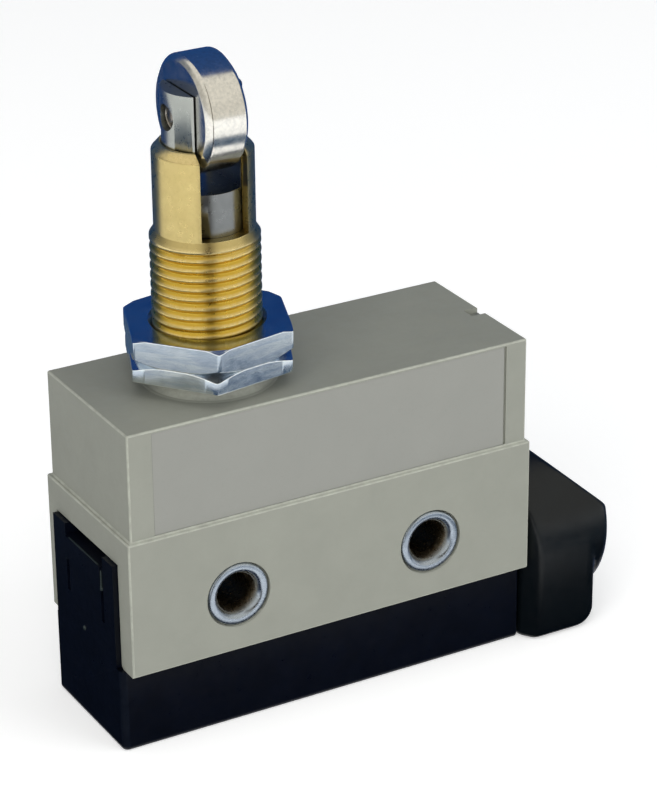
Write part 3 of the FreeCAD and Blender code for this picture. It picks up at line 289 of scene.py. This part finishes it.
# painted shade: the stainless pin is given a dark brown-grey for the shade in the ear's hole; its lighter edge colour
# is a painted highlight
M["pin_steel"] = metal("mat_pin_painted_shade", (0.17, 0.155, 0.135), (0.09, 0.08, 0.07), 0.30, 0.05, 900, grain=2e-6, edge=(0.34, 0.32, 0.29))
M["spring_steel"] = metal("mat_spring", (0.46, 0.47, 0.48), (0.26, 0.26, 0.27), 0.28, 0.06, 900, grain=4e-6)
M["phenolic"] = plastic("mat_phenolic", (0.030, 0.018, 0.012), 0.2, 0.42, 0.06, 2600, 8e-6, 400, 0.5)
M["button_plastic"] = plastic("mat_button", (0.50, 0.045, 0.030), 0.08, 0.36, 0.05, 4200, 5e-6, 300, 0.5)
M["contact_silver"] = metal("mat_silver", (0.86, 0.85, 0.82), (0.52, 0.50, 0.46), 0.24, 0.06, 1200, grain=3e-6)
M["terminal_brass"] = metal("mat_terminal", (0.74, 0.55, 0.25), (0.44, 0.29, 0.11), 0.26, 0.06, 800, grain=4e-6)

for n, o in NODES.items():
    slot = o.data.materials[0].name.split(".")[0]
    o.data.materials[0] = M.get(slot, M["case_plastic"])


# --------------------------------------------------------------- mesh helpers
def obj_from_bm(name, bm, mat, sharp=32, weighted=True):
    me = bpy.data.meshes.new(name)
    bm.normal_update()
    bm.to_mesh(me)
    bm.free()
    me.shade_smooth()
    me.set_sharp_from_angle(angle=math.radians(sharp))
    ob = bpy.data.objects.new(name, me)
    bpy.context.scene.collection.objects.link(ob)
    me.materials.clear()
    me.materials.append(mat)
    if weighted:
        w = ob.modifiers.new("weighted", "WEIGHTED_NORMAL")
        w.keep_sharp = True
        w.weight = 60
    return ob


def cad_bm(node, dissolve=1.2):
    bm = bmesh.new()
    bm.from_mesh(NODES[node].data)
    bmesh.ops.remove_doubles(bm, verts=bm.verts, dist=2e-6)
    bmesh.ops.dissolve_limit(bm, angle_limit=math.radians(dissolve), verts=bm.verts, edges=bm.edges,
                             use_dissolve_boundaries=False)
    bm.normal_update()
    return bm


def edge_layer(bm):
    lay = bm.faces.layers.float.get("edge")
    return lay if lay is not None else bm.faces.layers.float.new("edge")


def round_edges(bm, pick, width, segs=3, min_angle=28):
    """Rounds the sharp edges that pick(a, b) chooses, by width mm."""
    lay = edge_layer(bm)
    es = []
    for e in bm.edges:
        if len(e.link_faces) != 2:
            continue
        if abs(e.calc_face_angle(0.0)) < math.radians(min_angle):
            continue
        a, b = e.verts[0].co * 1000, e.verts[1].co * 1000
        if pick(a, b, e):
            es.append(e)
    if not es:
        return 0
    r = bmesh.ops.bevel(bm, geom=es, offset=width * MM, offset_type="OFFSET", segments=segs, profile=0.5,
                        affect="EDGES", clamp_overlap=True, miter_outer="SHARP", miter_inner="SHARP")
    lay = edge_layer(bm)
    for f in r["faces"]:
        f[lay] = 1.0
    return len(es)


def lathe(profile, segs=96, axis="Z", centre=(0, 0, 0), edge_from=None):
    """A solid of revolution in mm. profile is a closed loop of (r, a, edge?) or, if it starts and ends at r=0, an open one."""
    bm = bmesh.new()
    lay = bm.faces.layers.float.new("edge")
    cx, cy, cz = centre

    def place(r, a, t):
        c, s = r * math.cos(t), r * math.sin(t)
        if axis == "Z":
            p = (cx + c, cy + s, cz + a)
        elif axis == "X":
            p = (cx + a, cy + c, cz + s)
        else:
            p = (cx + s, cy + a, cz + c)
        return Vector(p) * MM

    rings = []
    for q in profile:
        r, a = q[0], q[1]
        if r < 1e-6:
            rings.append([bm.verts.new(place(0, a, 0))])
        else:
            rings.append([bm.verts.new(place(r, a, 2 * math.pi * i / segs)) for i in range(segs)])
    loop = profile[0][0] > 1e-6
    n = len(rings)
    for k in range(n if loop else n - 1):
        A, B = rings[k], rings[(k + 1) % n]
        mark = 1.0 if len(profile[k]) > 2 and profile[k][2] else 0.0
        for i in range(segs):
            j = (i + 1) % segs
            if len(A) == 1:
                f = bm.faces.new((A[0], B[j], B[i]))
            elif len(B) == 1:
                f = bm.faces.new((A[i], A[j], B[0]))
            else:
                f = bm.faces.new((A[i], A[j], B[j], B[i]))
            f[lay] = mark
    bmesh.ops.recalc_face_normals(bm, faces=bm.faces)
    return bm


def arc(cx, cy, r, a0, a1, n, mark=True):
    return [(cx + r * math.cos(math.radians(a0 + (a1 - a0) * i / n)),
             cy + r * math.sin(math.radians(a0 + (a1 - a0) * i / n)), mark) for i in range(n + 1)]


def stand_in(ob, node, body):
    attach(ob, body)
    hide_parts(node)
    return ob


# --------------------------------------------------------------------- case
bm = cad_bm("housing")


def near(v, val, tol=0.06):
    return abs(v - val) < tol


def case_outer(a, b, e):
    m = (a + b) / 2
    if m.z > 23.0:                                    # nut seat
        return False
    for v in (a, b):                                  # rounded leg corners
        if v.x < -24.0 and v.z < -5.0 and 7.5 < abs(v.y) < 10.3:
            return False
    if abs(m.x) < 23.4 and 9.85 < m.z < 22.6 and abs(m.y) > 9.6:   # label recess
        return False
    if (m.x - AXIS_X) ** 2 + m.y ** 2 < 9.0 ** 2 and m.z > 22.6:   # seat root
        return False
    if abs(m.z) < 4.3 and abs(abs(m.x) - 12.7) < 4.3:              # eyelet seats
        return False
    if m.x > 23.0 and m.z > 21.9 and -1.6 < m.y < 0.9:             # roof notch
        return False
    outer = (abs(a.y) > 10.1 and abs(b.y) > 10.1) or (a.z > 22.7 and b.z > 22.7) or \
            (abs(a.x) > 25.7 and abs(b.x) > 25.7 and (abs(a.y) > 10.1 or abs(b.y) > 10.1))
    return outer


n_leg = round_edges(bm, lambda a, b, e: near((a + b).z / 2, -7.07, 0.05) and abs(a.y - b.y) < 0.02 and
                    (near(a.y, -7.65, 0.03) or near(a.y, 8.30, 0.03)) and max(a.x, b.x) < -23.0, 1.75, 4, 30)
n_outer = round_edges(bm, case_outer, 0.40, 4, 30)
print("legs", n_leg)
n_fine = round_edges(bm, lambda a, b, e: abs((a + b).y / 2) > 9.6 and 9.6 < (a + b).z / 2 < 22.6, 0.06, 2, 40)
print("housing edges", n_outer, n_fine)
housing = obj_from_bm("case_housing", bm, M["case_plastic"], 34)
stand_in(housing, "housing", "case")

# turned skin of the nut seat, with its moulded root fillet
prof = [(6.40, 22.70, False), (7.95, 22.80, False), (7.90, 22.84, False), (7.55, 22.90, True), (7.28, 23.02, True), (7.12, 23.20, True),
        (7.03, 23.45, True), (7.02, 24.66, True), (6.95, 24.73, True), (6.40, 24.74, False)]
seat = obj_from_bm("nut_seat_skin", lathe(prof, 128, "Z", (AXIS_X, 0, 0)), M["case_plastic"], 50)
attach(seat, "case")

# ------------------------------------------------------------ terminal cover
bm = cad_bm("terminal_cover")
n0 = round_edges(bm, lambda a, b, e: abs(a.z - b.z) > 4 and near(abs(a.y), 8.79, 0.05) and near(abs(b.y), 8.79, 0.05) and
                 (a + b).x / 2 < -26.5, 0.95, 6, 40)
n1 = round_edges(bm, lambda a, b, e: (a + b).z / 2 < -7.3 and
                 (max(abs(a.y), abs(b.y)) > 8.6 or max(abs(a.x), abs(b.x)) > 26.0 or max(a.z, b.z) < -17.2), 0.38, 3, 40)
n2 = round_edges(bm, lambda a, b, e: min(a.x, b.x) < -26.8 and (a + b).z / 2 > -7.0 and
                 not (abs((a + b).y / 2) < 5.2 and (a + b).z / 2 > -3.0), 0.12, 2, 40)
print("cover edges", n0, n1, n2)
cover = obj_from_bm("terminal_cover_shell", bm, M["black_plastic"], 12, weighted=False)
stand_in(cover, "terminal_cover", "terminal_cover")

def tube(name, pts, radii, mat, segs=12):
    """A round bead along points that lie in a plane of constant X, closed at both ends. All in mm."""
    bm = bmesh.new()
    P = [Vector(p) for p in pts]
    rings = []
    for i, p in enumerate(P):
        t = (P[min(i + 1, len(P) - 1)] - P[max(i - 1, 0)]).normalized()
        u = Vector((1, 0, 0))
        w = t.cross(u).normalized()
        rings.append([bm.verts.new((p + (u * math.cos(q) + w * math.sin(q)) * radii[i]) * MM)
                      for q in (2 * math.pi * k / segs for k in range(segs))])
    for A, B in zip(rings, rings[1:]):
        for k in range(segs):
            j = (k + 1) % segs
            bm.faces.new((A[k], A[j], B[j], B[k]))
    bm.faces.new(rings[0])
    bm.faces.new(rings[-1])
    bmesh.ops.recalc_face_normals(bm, faces=bm.faces)
    return obj_from_bm(name, bm, mat, 50, weighted=False)


# painted highlight: a lighter bead round the latch tab, lighter domes at its feet and a lighter pip below stand in for
# glints on the tab's edges
rim, rr = [], []
for y, z, r in ((-4.5, 1.55, 0.05), (-4.5, 1.65, 0.24), (-4.5, 1.85, 0.27), (-4.5, 2.05, 0.20), (-4.5, 2.3, 0.14)):
    rim.append((-26.93, y, z)); rr.append(r)
for i in range(7):
    a = math.radians(180 - 15 * i)
    rim.append((-26.93, -3.6 + 0.9 * math.cos(a), 3.66 + 0.86 * math.sin(a))); rr.append(0.14)
for i in range(7):
    a = math.radians(90 - 15 * i)
    rim.append((-26.93, 3.6 + 0.9 * math.cos(a), 3.66 + 0.86 * math.sin(a))); rr.append(0.14)
for y, z, r in ((4.5, 2.3, 0.14), (4.5, 2.05, 0.20), (4.5, 1.85, 0.27), (4.5, 1.65, 0.24), (4.5, 1.55, 0.05)):
    rim.append((-26.93, y, z)); rr.append(r)
rr = [min(x, 0.18) for x in rr]
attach(tube("latch_rim", rim, rr, M["latch_edge"]), "terminal_cover")
for tag, y in (("front", -4.42), ("back", 4.42)):
    dome = lathe([(0.0, -27.11, False), (0.14, -27.10, False), (0.26, -27.03, False), (0.33, -26.9, False), (0.33, -26.7, False), (0.0, -26.7, False)],
                 24, "X", (0, y, 1.85))
    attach(obj_from_bm("latch_foot_" + tag, dome, M["latch_edge"], 60), "terminal_cover")
pip = lathe([(0.0, -27.08, False), (0.16, -27.06, False), (0.28, -26.99, False), (0.34, -26.88, False), (0.34, -26.6, False), (0.0, -26.6, False)],
            24, "X", (0, 0.7, -5.7))
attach(obj_from_bm("latch_pip", pip, M["latch_edge"], 60), "terminal_cover")

# ------------------------------------------------------------------- boot
bm = cad_bm("cable_boot", 0.4)
boot = obj_from_bm("cable_boot_moulded", bm, M["boot_rubber"], 40, weighted=False)
rm = boot.modifiers.new("remesh", "REMESH")
rm.mode = "VOXEL"
rm.voxel_size = 0.00026
rm.use_smooth_shade = True
sm = boot.modifiers.new("smooth", "SMOOTH")
sm.factor = 0.5
sm.iterations = 8
stand_in(boot, "cable_boot", "terminal_cover")

# --------------------------------------------------------------- eyelets
for side, x in (("left", -12.7), ("right", 12.7)):
    prof = []
    # outer barrel, front rolled flange, funnel, bore, back flange
    for s in (1,):
        prof += [(2.5, -9.9, False)]
        prof += [(3.25, -10.02, True)]
        prof += arc(3.55, -10.30, 0.30, 90, -90, 6)           # rolled outer lip
        prof += [(3.25, -10.62, True)]
        prof += [(3.02, -10.60, True), (2.80, -10.42, True), (2.62, -10.15, True), (2.42, -9.7, True),
                 (2.2, -9.1, True), (2.1, -8.6, False)]
        prof += [(2.1, 8.6, False), (2.2, 9.1, True), (2.42, 9.7, True), (2.62, 10.15, True), (2.80, 10.42, True),
                 (3.02, 10.60, True), (3.25, 10.62, True)]
        prof += arc(3.55, 10.30, 0.30, 90, -90, 6)
        prof += [(3.25, 10.02, True), (2.5, 9.9, False)]
    bm = lathe([(r, a, k) for r, a, k in prof], 96, "Y", (x, 0, 0))
    ey = obj_from_bm("eyelet_" + side + "_rolled", bm, M["eyelet_steel"], 50)
    stand_in(ey, "eyelet_" + side, "case")

# ---------------------------------------------------------- threaded bushing
PITCH = 1.14
CREST, ROOT = 6.25, 5.88


def thread_r(z, t):
    """Outer radius at height z and angle t: rounded V thread that runs out under the cone."""
    ph = (z / PITCH - t / (2 * math.pi)) % 1.0
    tri = 1.0 - abs(2.0 * ph - 1.0)            # 0 at root, 1 at crest
    tri = min(1.0, max(0.0, (tri - 0.10) / 0.72))
    tri = tri * tri * (3 - 2 * tri) * 0.35 + tri * 0.65
    r = ROOT + (CREST - ROOT) * tri
    top = 40.10 + (40.95 - z) * 0.0
    if z > 40.10:
        cone = 6.25 + (5.715 - 6.25) * (z - 40.10) / 0.85
        r = min(r + max(0.0, (z - 39.6)) * 0.4, cone) if z < 40.10 else cone
    elif z > 39.35:                               # the last turn fills up to the shoulder
        k = (z - 39.35) / 0.75
        k = k * k * (3 - 2 * k)
        r = r * (1 - k) + CREST * k
    return r


SEG = 168
bm = bmesh.new()
lay = bm.faces.layers.float.new("edge")
rows = [(5.2, 19.6), (8.0, 19.6), (8.2, 19.8), (8.2, 20.8), (8.0, 21.0), (6.3, 21.0), (6.21, 21.1)]
z = 24.0
outer = [("c", r, zz) for r, zz in rows]
while z < 40.95:
    outer.append(("t", 0, z))
    z += 0.075
outer.append(("c", 5.715, 40.95))
outer += [("c", 5.715, 49.95), ("e", 5.70, 50.06), ("e", 5.63, 50.17), ("e", 4.93, 50.93), ("e", 4.84, 50.985)]
outer += [("e", 4.72, 51.0), ("e", 4.60, 50.95), ("c", 4.55, 50.82), ("c", 4.55, 34.6), ("c", 5.2, 34.6)]
rings = []
for kind, r, zz in outer:
    ring = []
    for i in range(SEG):
        t = 2 * math.pi * i / SEG
        rr = thread_r(zz, t) if kind == "t" else r
        if kind == "t" and zz < 25.5:
            rr = min(rr, 6.21)
        ring.append(bm.verts.new(Vector((AXIS_X + rr * math.cos(t), rr * math.sin(t), zz)) * MM))
    rings.append(ring)
for k in range(len(rings)):
    A, B = rings[k], rings[(k + 1) % len(rings)]
    for i in range(SEG):
        j = (i + 1) % SEG
        f = bm.faces.new((A[i], A[j], B[j], B[i]))
        zc = (A[i].co.z + B[i].co.z) / 2 / MM
        # painted highlight: the top chamfer rows and the thread crests are marked for the lighter edge colour
        if outer[k][0] == "e":
            f[lay] = 1.0
        elif outer[k][0] == "t":
            rc = (Vector((A[i].co.x - AXIS_X * MM, A[i].co.y)).length) / MM
            f[lay] = max(0.0, min(1.0, (rc - 6.08) / 0.15)) * 0.8
bmesh.ops.recalc_face_normals(bm, faces=bm.faces)
me = bpy.data.meshes.new("bushing_turned")
bm.to_mesh(me)
bm.free()
bush = bpy.data.objects.new("bushing_turned", me)
bpy.context.scene.collection.objects.link(bush)
cb = bmesh.new()
bmesh.ops.create_cube(cb, size=1.0)
for v in cb.verts:
    v.co = Vector((AXIS_X + v.co.x * 5.8, v.co.y * 30, 41.0 + (v.co.z + 0.5) * 20)) * MM
cme = bpy.data.meshes.new("slot_tool")
cb.to_mesh(cme)
cb.free()
cut = bpy.data.objects.new("slot_tool", cme)
bpy.context.scene.collection.objects.link(cut)
bo = bush.modifiers.new("slot", "BOOLEAN")
bo.operation = "DIFFERENCE"
bo.solver = "EXACT"
bo.object = cut
bpy.context.view_layer.update()
dg = bpy.context.evaluated_depsgraph_get()
res = bpy.data.meshes.new_from_object(bush.evaluated_get(dg))
bush.modifiers.clear()
bpy.data.objects.remove(bush)
bpy.data.objects.remove(cut)
bm = bmesh.new()
bm.from_mesh(res)
bmesh.ops.remove_doubles(bm, verts=bm.verts, dist=1e-6)
n = round_edges(bm, lambda a, b, e: (a + b).z / 2 > 40.97 and max(a.z, b.z) > 40.97 and
                (near(a.x, AXIS_X - 2.9, 0.02) or near(a.x, AXIS_X + 2.9, 0.02)) and
                (near(b.x, AXIS_X - 2.9, 0.02) or near(b.x, AXIS_X + 2.9, 0.02)) and a.z > 41.05 and b.z > 40.99, 0.10, 2, 30)
print("slot edges", n)
bushing = obj_from_bm("bushing_threaded", bm, M["bushing_brass"], 38)
stand_in(bushing, "threaded_bushing", "case")

# -------------------------------------------------------------------- nuts
def hex_nut(name, z0, z1, turn, r0, r1, R=10.42, bore=6.30):
    """A hexagon nut of columns round the axis. r0 and r1 are the chamfer circles at its lower and upper face."""
    bm = bmesh.new()
    lay = bm.faces.layers.float.new("edge")
    ap = R * math.cos(math.pi / 6)
    per = 36
    n = per * 6
    rings = []
    tan = math.tan(math.radians(30))
    for i in range(n):
        t = 2 * math.pi * i / n
        loc = (t % (math.pi / 3)) - math.pi / 6
        r = min(ap / math.cos(loc), R - 0.07)
        e = 0.07
        c0, c1 = max(0.0, r - r0) * tan, max(0.0, r - r1) * tan
        q0, q1 = min(r0, r - e), min(r1, r - e)
        col = [(bore, z0 + 0.45), (bore + 0.42, z0 + 0.02), (bore + 0.5, z0), (q0 - 0.03, z0), (q0 + (r - e - q0) * 0.5 + 0.001, z0 + c0 * 0.5),
               (r - e, z0 + c0), (r - 0.015, z0 + c0 + 0.03), (r, z0 + c0 + 0.10),
               (r, z1 - c1 - 0.10), (r - 0.015, z1 - c1 - 0.03), (r - e, z1 - c1),
               (q1 + (r - e - q1) * 0.5 + 0.001, z1 - c1 * 0.5), (q1 - 0.03, z1), (bore + 0.5, z1), (bore + 0.42, z1 - 0.02), (bore, z1 - 0.45)]
        a = t + math.radians(turn)
        rings.append([bm.verts.new(Vector((AXIS_X + rr * math.cos(a), rr * math.sin(a), zz)) * MM) for rr, zz in col])
    m = len(rings[0])
    for i in range(n):
        A, B = rings[i], rings[(i + 1) % n]
        for k in range(m):
            j = (k + 1) % m
            f = bm.faces.new((A[k], B[k], B[j], A[j]))
            # painted glint: the small roundings where the flats meet the chamfers are marked for the near-white edge
            # colour
            f[lay] = 1.0 if k in (5, 6, 8, 9) else 0.0
    bmesh.ops.recalc_face_normals(bm, faces=bm.faces)
    return obj_from_bm(name, bm, M["nut_zinc"], 26)


stand_in(hex_nut("panel_nut_lower_plated", 24.75, 26.87, 8.3, 10.6, 9.15), "panel_nut_lower", "case")
stand_in(hex_nut("panel_nut_upper_plated", 26.87, 29.92, 9.8, 9.25, 9.75), "panel_nut_upper", "case")

# ----------------------------------------------------------- plunger, roller
bm = cad_bm("plunger")
n = round_edges(bm, lambda a, b, e: max(a.z, b.z) > 45.5, 0.09, 2, 30)
print("plunger", n)
pl = obj_from_bm("plunger_clevis", bm, M["stainless"], 34)
stand_in(pl, "plunger", "plunger")

prof = [(1.53, -2.35, False)]
prof += [(1.62, -2.6, True), (2.4, -2.6, False), (5.86, -2.6, False)]
prof += [(5.94, -2.585, True), (6.60, -2.10, True), (6.67, -1.99, True), (6.70, -1.84, True)]
prof += [(6.70, 1.84, True), (6.67, 1.99, True), (6.60, 2.10, True), (5.94, 2.585, True), (5.86, 2.6, False)]
prof += [(2.4, 2.6, False), (1.62, 2.6, True), (1.53, 2.35, False)]
bm = lathe([(r, a, k) for r, a, k in prof], 168, "X", (AXIS_X, 0, 54.3))
ro = obj_from_bm("roller_turned", bm, M["roller_steel"], 40)
stand_in(ro, "roller", "roller")

prof = [(0.0, -3.95, False), (0.60, -3.95, True), (0.74, -3.86, True), (0.82, -3.40, False), (1.22, -3.34, False),
        (1.34, -3.62, True), (1.44, -3.70, True), (1.48, -3.60, False), (1.48, 3.60, False), (1.44, 3.70, True),
        (1.34, 3.62, True), (1.22, 3.34, False), (0.82, 3.40, False), (0.74, 3.86, True), (0.60, 3.95, True),
        (0.0, 3.95, False)]
bm = lathe(prof, 64, "X", (AXIS_X, 0, 54.3))
pin = obj_from_bm("roller_pin_staked", bm, M["pin_steel"], 40)
stand_in(pin, "roller_pin", "plunger")

# ---------------------------------------------------------------- nameplate
bm = cad_bm("nameplate")
for v in bm.verts:
    if v.co.x > 0.0225:
        v.co.x -= 0.00024
    if v.co.x < -0.0220:
        v.co.x -= LABEL_GAP
    if v.co.z > 0.020:
        v.co.z += LABEL_GAP
    if v.co.z < 0.012:
        v.co.z -= LABEL_GAP
round_edges(bm, lambda a, b, e: True, 0.05, 2, 40)
nmp = obj_from_bm("nameplate_blank", bm, M["label_film"], 34)
stand_in(nmp, "nameplate", "case")


# ------------------------------------------------------------- stage, lights
def card(name, corners, color, strength, camera=False, diffuse=True, glossy=True, shadow=False):
    bm = bmesh.new()
    bm.faces.new([bm.verts.new(Vector(c)) for c in corners])
    me = bpy.data.meshes.new(name)
    bm.to_mesh(me)
    bm.free()
    ob = bpy.data.objects.new(name, me)
    bpy.context.scene.collection.objects.link(ob)
    m = bpy.data.materials.new(name)
    m.use_nodes = True
    nt = m.node_tree
    nt.nodes.clear()
    out = nt.nodes.new("ShaderNodeOutputMaterial")
    em = nt.nodes.new("ShaderNodeEmission")
    em.inputs["Color"].default_value = (*color, 1)
    em.inputs["Strength"].default_value = strength
    nt.links.new(em.outputs[0], out.inputs["Surface"])
    me.materials.append(m)
    ob.visible_camera = camera
    ob.visible_diffuse = diffuse
    ob.visible_glossy = glossy
    ob.visible_shadow = shadow
    ob.visible_transmission = False
    return ob


FLOOR_Z = CAD_BOX[0].z - 0.00005
bm = bmesh.new()
S = 3.0
bm.faces.new([bm.verts.new(Vector(c)) for c in ((-S, -S, FLOOR_Z), (S, -S, FLOOR_Z), (S, S, FLOOR_Z), (-S, S, FLOOR_Z))])
me = bpy.data.meshes.new("floor")
bm.to_mesh(me)
bm.free()
floor = bpy.data.objects.new("floor", me)
bpy.context.scene.collection.objects.link(floor)
fm, nt, b = new_mat("mat_floor")
b.inputs["Base Color"].default_value = (0.86, 0.86, 0.865, 1)
b.inputs["Roughness"].default_value = 0.9
b.inputs["Specular IOR Level"].default_value = 0.1
b.inputs["Emission Color"].default_value = (1, 1, 1, 1)
b.inputs["Emission Strength"].default_value = 0.34
me.materials.append(fm)

w = bpy.data.worlds.new("studio")
bpy.context.scene.world = w
w.use_nodes = True
bg = w.node_tree.nodes["Background"]
bg.inputs["Color"].default_value = (0.92, 0.96, 1.0, 1)
bg.inputs["Strength"].default_value = 0.26


def area(name, loc, target, size, power, color=(1, 1, 1), glossy=True):
    ld = bpy.data.lights.new(name, "AREA")
    ld.shape = "RECTANGLE"
    ld.size, ld.size_y = size
    ld.energy = power
    ld.color = color
    ob = bpy.data.objects.new(name, ld)
    bpy.context.scene.collection.objects.link(ob)
    ob.location = loc
    d = Vector(target) - Vector(loc)
    ob.rotation_mode = "QUATERNION"
    ob.rotation_quaternion = d.to_track_quat("-Z", "Y")
    ob.visible_glossy = glossy
    ob.visible_camera = False
    return ob


area("key_left", (-0.70, -0.72, 0.50), (0, 0, 0.02), (1.0, 0.9), 8.5, (1.0, 0.985, 0.95))
area("fill_right", (0.70, -0.75, 0.40), (0, 0, 0.02), (0.9, 0.9), 5.0, (0.97, 0.985, 1.0))
area("top_soft", (-0.05, -0.20, 0.95), (0, 0, 0), (1.0, 0.9), 3.6, (1.0, 0.99, 0.96))
for ob in bpy.context.scene.objects:
    if ob.type == "LIGHT":
        ob.visible_glossy = False

# glossy-only cards: the metals and the black parts mirror a dark blue room behind and a pale one in front
FWD = Vector((math.sin(0.5128), math.cos(0.5128), 0))
RGT = Vector((math.cos(0.5128), -math.sin(0.5128), 0))


def at(r, f, z):
    return tuple(RGT * r + FWD * f + Vector((0, 0, z)))


def quad(name, pts, color, strength):
    return card(name, [at(*p) for p in pts], color, strength, diffuse=False)


NAVY = (0.010, 0.060, 0.225)
CREAM = (0.66, 0.635, 0.575)
ZC = FLOOR_Z + 0.0003
H = 0.80
quad("card_back", [(-1.3, 0.75, -0.1), (1.3, 0.75, -0.1), (1.3, 0.75, H), (-1.3, 0.75, H)], NAVY, 0.85)
quad("card_ceiling_back", [(-1.3, 0.75, H), (1.3, 0.75, H), (1.3, 0.62, H), (0.0, -0.10, H), (-1.3, 0.62, H)], NAVY, 0.85)
quad("card_floor_back", [(0, 0.004, ZC), (1.4, 0.42, ZC), (1.4, 0.76, ZC), (-1.4, 0.76, ZC), (-1.4, 0.42, ZC)], NAVY, 0.85)
quad("card_front", [(-1.4, -1.2, 0.0), (1.4, -1.2, 0.0), (1.4, -1.2, H), (-1.4, -1.2, H)], CREAM, 1.15)
quad("card_ceiling_front", [(-1.4, -1.2, H + 0.002), (1.4, -1.2, H + 0.002), (1.4, 0.75, H + 0.002), (-1.4, 0.75, H + 0.002)], CREAM, 1.2)
quad("card_left", [(-1.4, -1.2, 0.0), (-1.4, 0.1, 0.0), (-1.4, 0.1, H), (-1.4, -1.2, H)], CREAM, 0.8)
quad("card_right", [(1.4, -1.2, 0.0), (1.4, 0.1, 0.0), (1.4, 0.1, H), (1.4, -1.2, H)], CREAM, 1.1)


def ring(name, r0, r1, color, strength, z, cx=-0.008, cy=0.0, a0=0.0, a1=360.0, n=48):
    """A flat ring, or a part of one, on the floor round the object."""
    bm = bmesh.new()
    vs = []
    for i in range(n + 1):
        t = math.radians(a0 + (a1 - a0) * i / n)
        vs.append([bm.verts.new((cx + r * math.cos(t), cy + r * math.sin(t), z)) for r in (r0, r1)])
    for A, B in zip(vs, vs[1:]):
        bm.faces.new((A[0], A[1], B[1], B[0]))
    ob = card(name, [(0, 0, z), (0.001, 0, z), (0, 0.001, z)], color, strength, diffuse=False)
    bm.to_mesh(ob.data)
    bm.free()
    return ob


# the floor near the object is mirrored as a dim blue, except where the eyelets look
ring("card_floor_near", 0.062, 0.112, (0.075, 0.125, 0.200), 0.9, ZC + 0.0002)
DIM = (0.012, 0.022, 0.050)
card("card_floor_skirt", [(-0.028, -0.008, ZC + 0.0002), (0.085, -0.008, ZC + 0.0002), (0.085, -0.0262, ZC + 0.0002),
                          (-0.028, -0.0262, ZC + 0.0002)], DIM, 0.8, diffuse=False)
card("card_floor_end", [(-0.085, -0.045, ZC + 0.0002), (-0.0262, -0.045, ZC + 0.0002), (-0.0262, 0.070, ZC + 0.0002),
                        (-0.085, 0.070, ZC + 0.0002)], DIM, 0.8, diffuse=False)
# a brown gap where the camera stands
ring("card_camera_gap", 0.050, 0.60, (0.05, 0.03, 0.012), 0.8, ZC + 0.0004, AXIS_X * MM, 0.0, -122.0, -97.0, 12)
quad("card_camera_gap_wall", [(-0.04, -0.9, -0.01), (0.37, -0.9, -0.01), (0.37, -0.9, H - 0.01), (-0.04, -0.9, H - 0.01)], (0.05, 0.03, 0.012), 0.8)
quad("card_camera_gap_top", [(-0.04, -0.9, H - 0.01), (0.37, -0.9, H - 0.01), (0.14, -0.35, H - 0.01), (-0.015, -0.35, H - 0.01)], (0.05, 0.03, 0.012), 0.8)

# -------------------------------------------------------------------- camera
AZ, EL, ROLL = 0.5127938528498572, 0.43388391312749325, -0.010035984409017741
TX, TZ, DIST = 4.420348 + 0.0792, 15.572291 - 0.0223, 358.688973
back = Vector((-math.sin(AZ) * math.cos(EL), -math.cos(AZ) * math.cos(EL), math.sin(EL)))
right = Vector((math.cos(AZ), -math.sin(AZ), 0.0))
up = back.cross(right)
r2 = right * math.cos(ROLL) + up * math.sin(ROLL)
u2 = -right * math.sin(ROLL) + up * math.cos(ROLL)
C = (right * TX + up * TZ + back * DIST) * MM
cd = bpy.data.cameras.new("camera")
cd.sensor_width = 36.0
cd.lens = 3041.532650118199 / 798 * 36.0
cd.clip_start = 0.01
cd.clip_end = 20
cam = bpy.data.objects.new("camera", cd)
bpy.context.scene.collection.objects.link(cam)
cam.matrix_world = Matrix(((r2.x, u2.x, back.x, C.x), (r2.y, u2.y, back.y, C.y), (r2.z, u2.z, back.z, C.z), (0, 0, 0, 1)))
bpy.context.scene.camera = cam

vs = bpy.context.scene.view_settings
vs.view_transform = "Standard"
vs.look = "None"
vs.exposure = 0.0
vs.gamma = 1.0
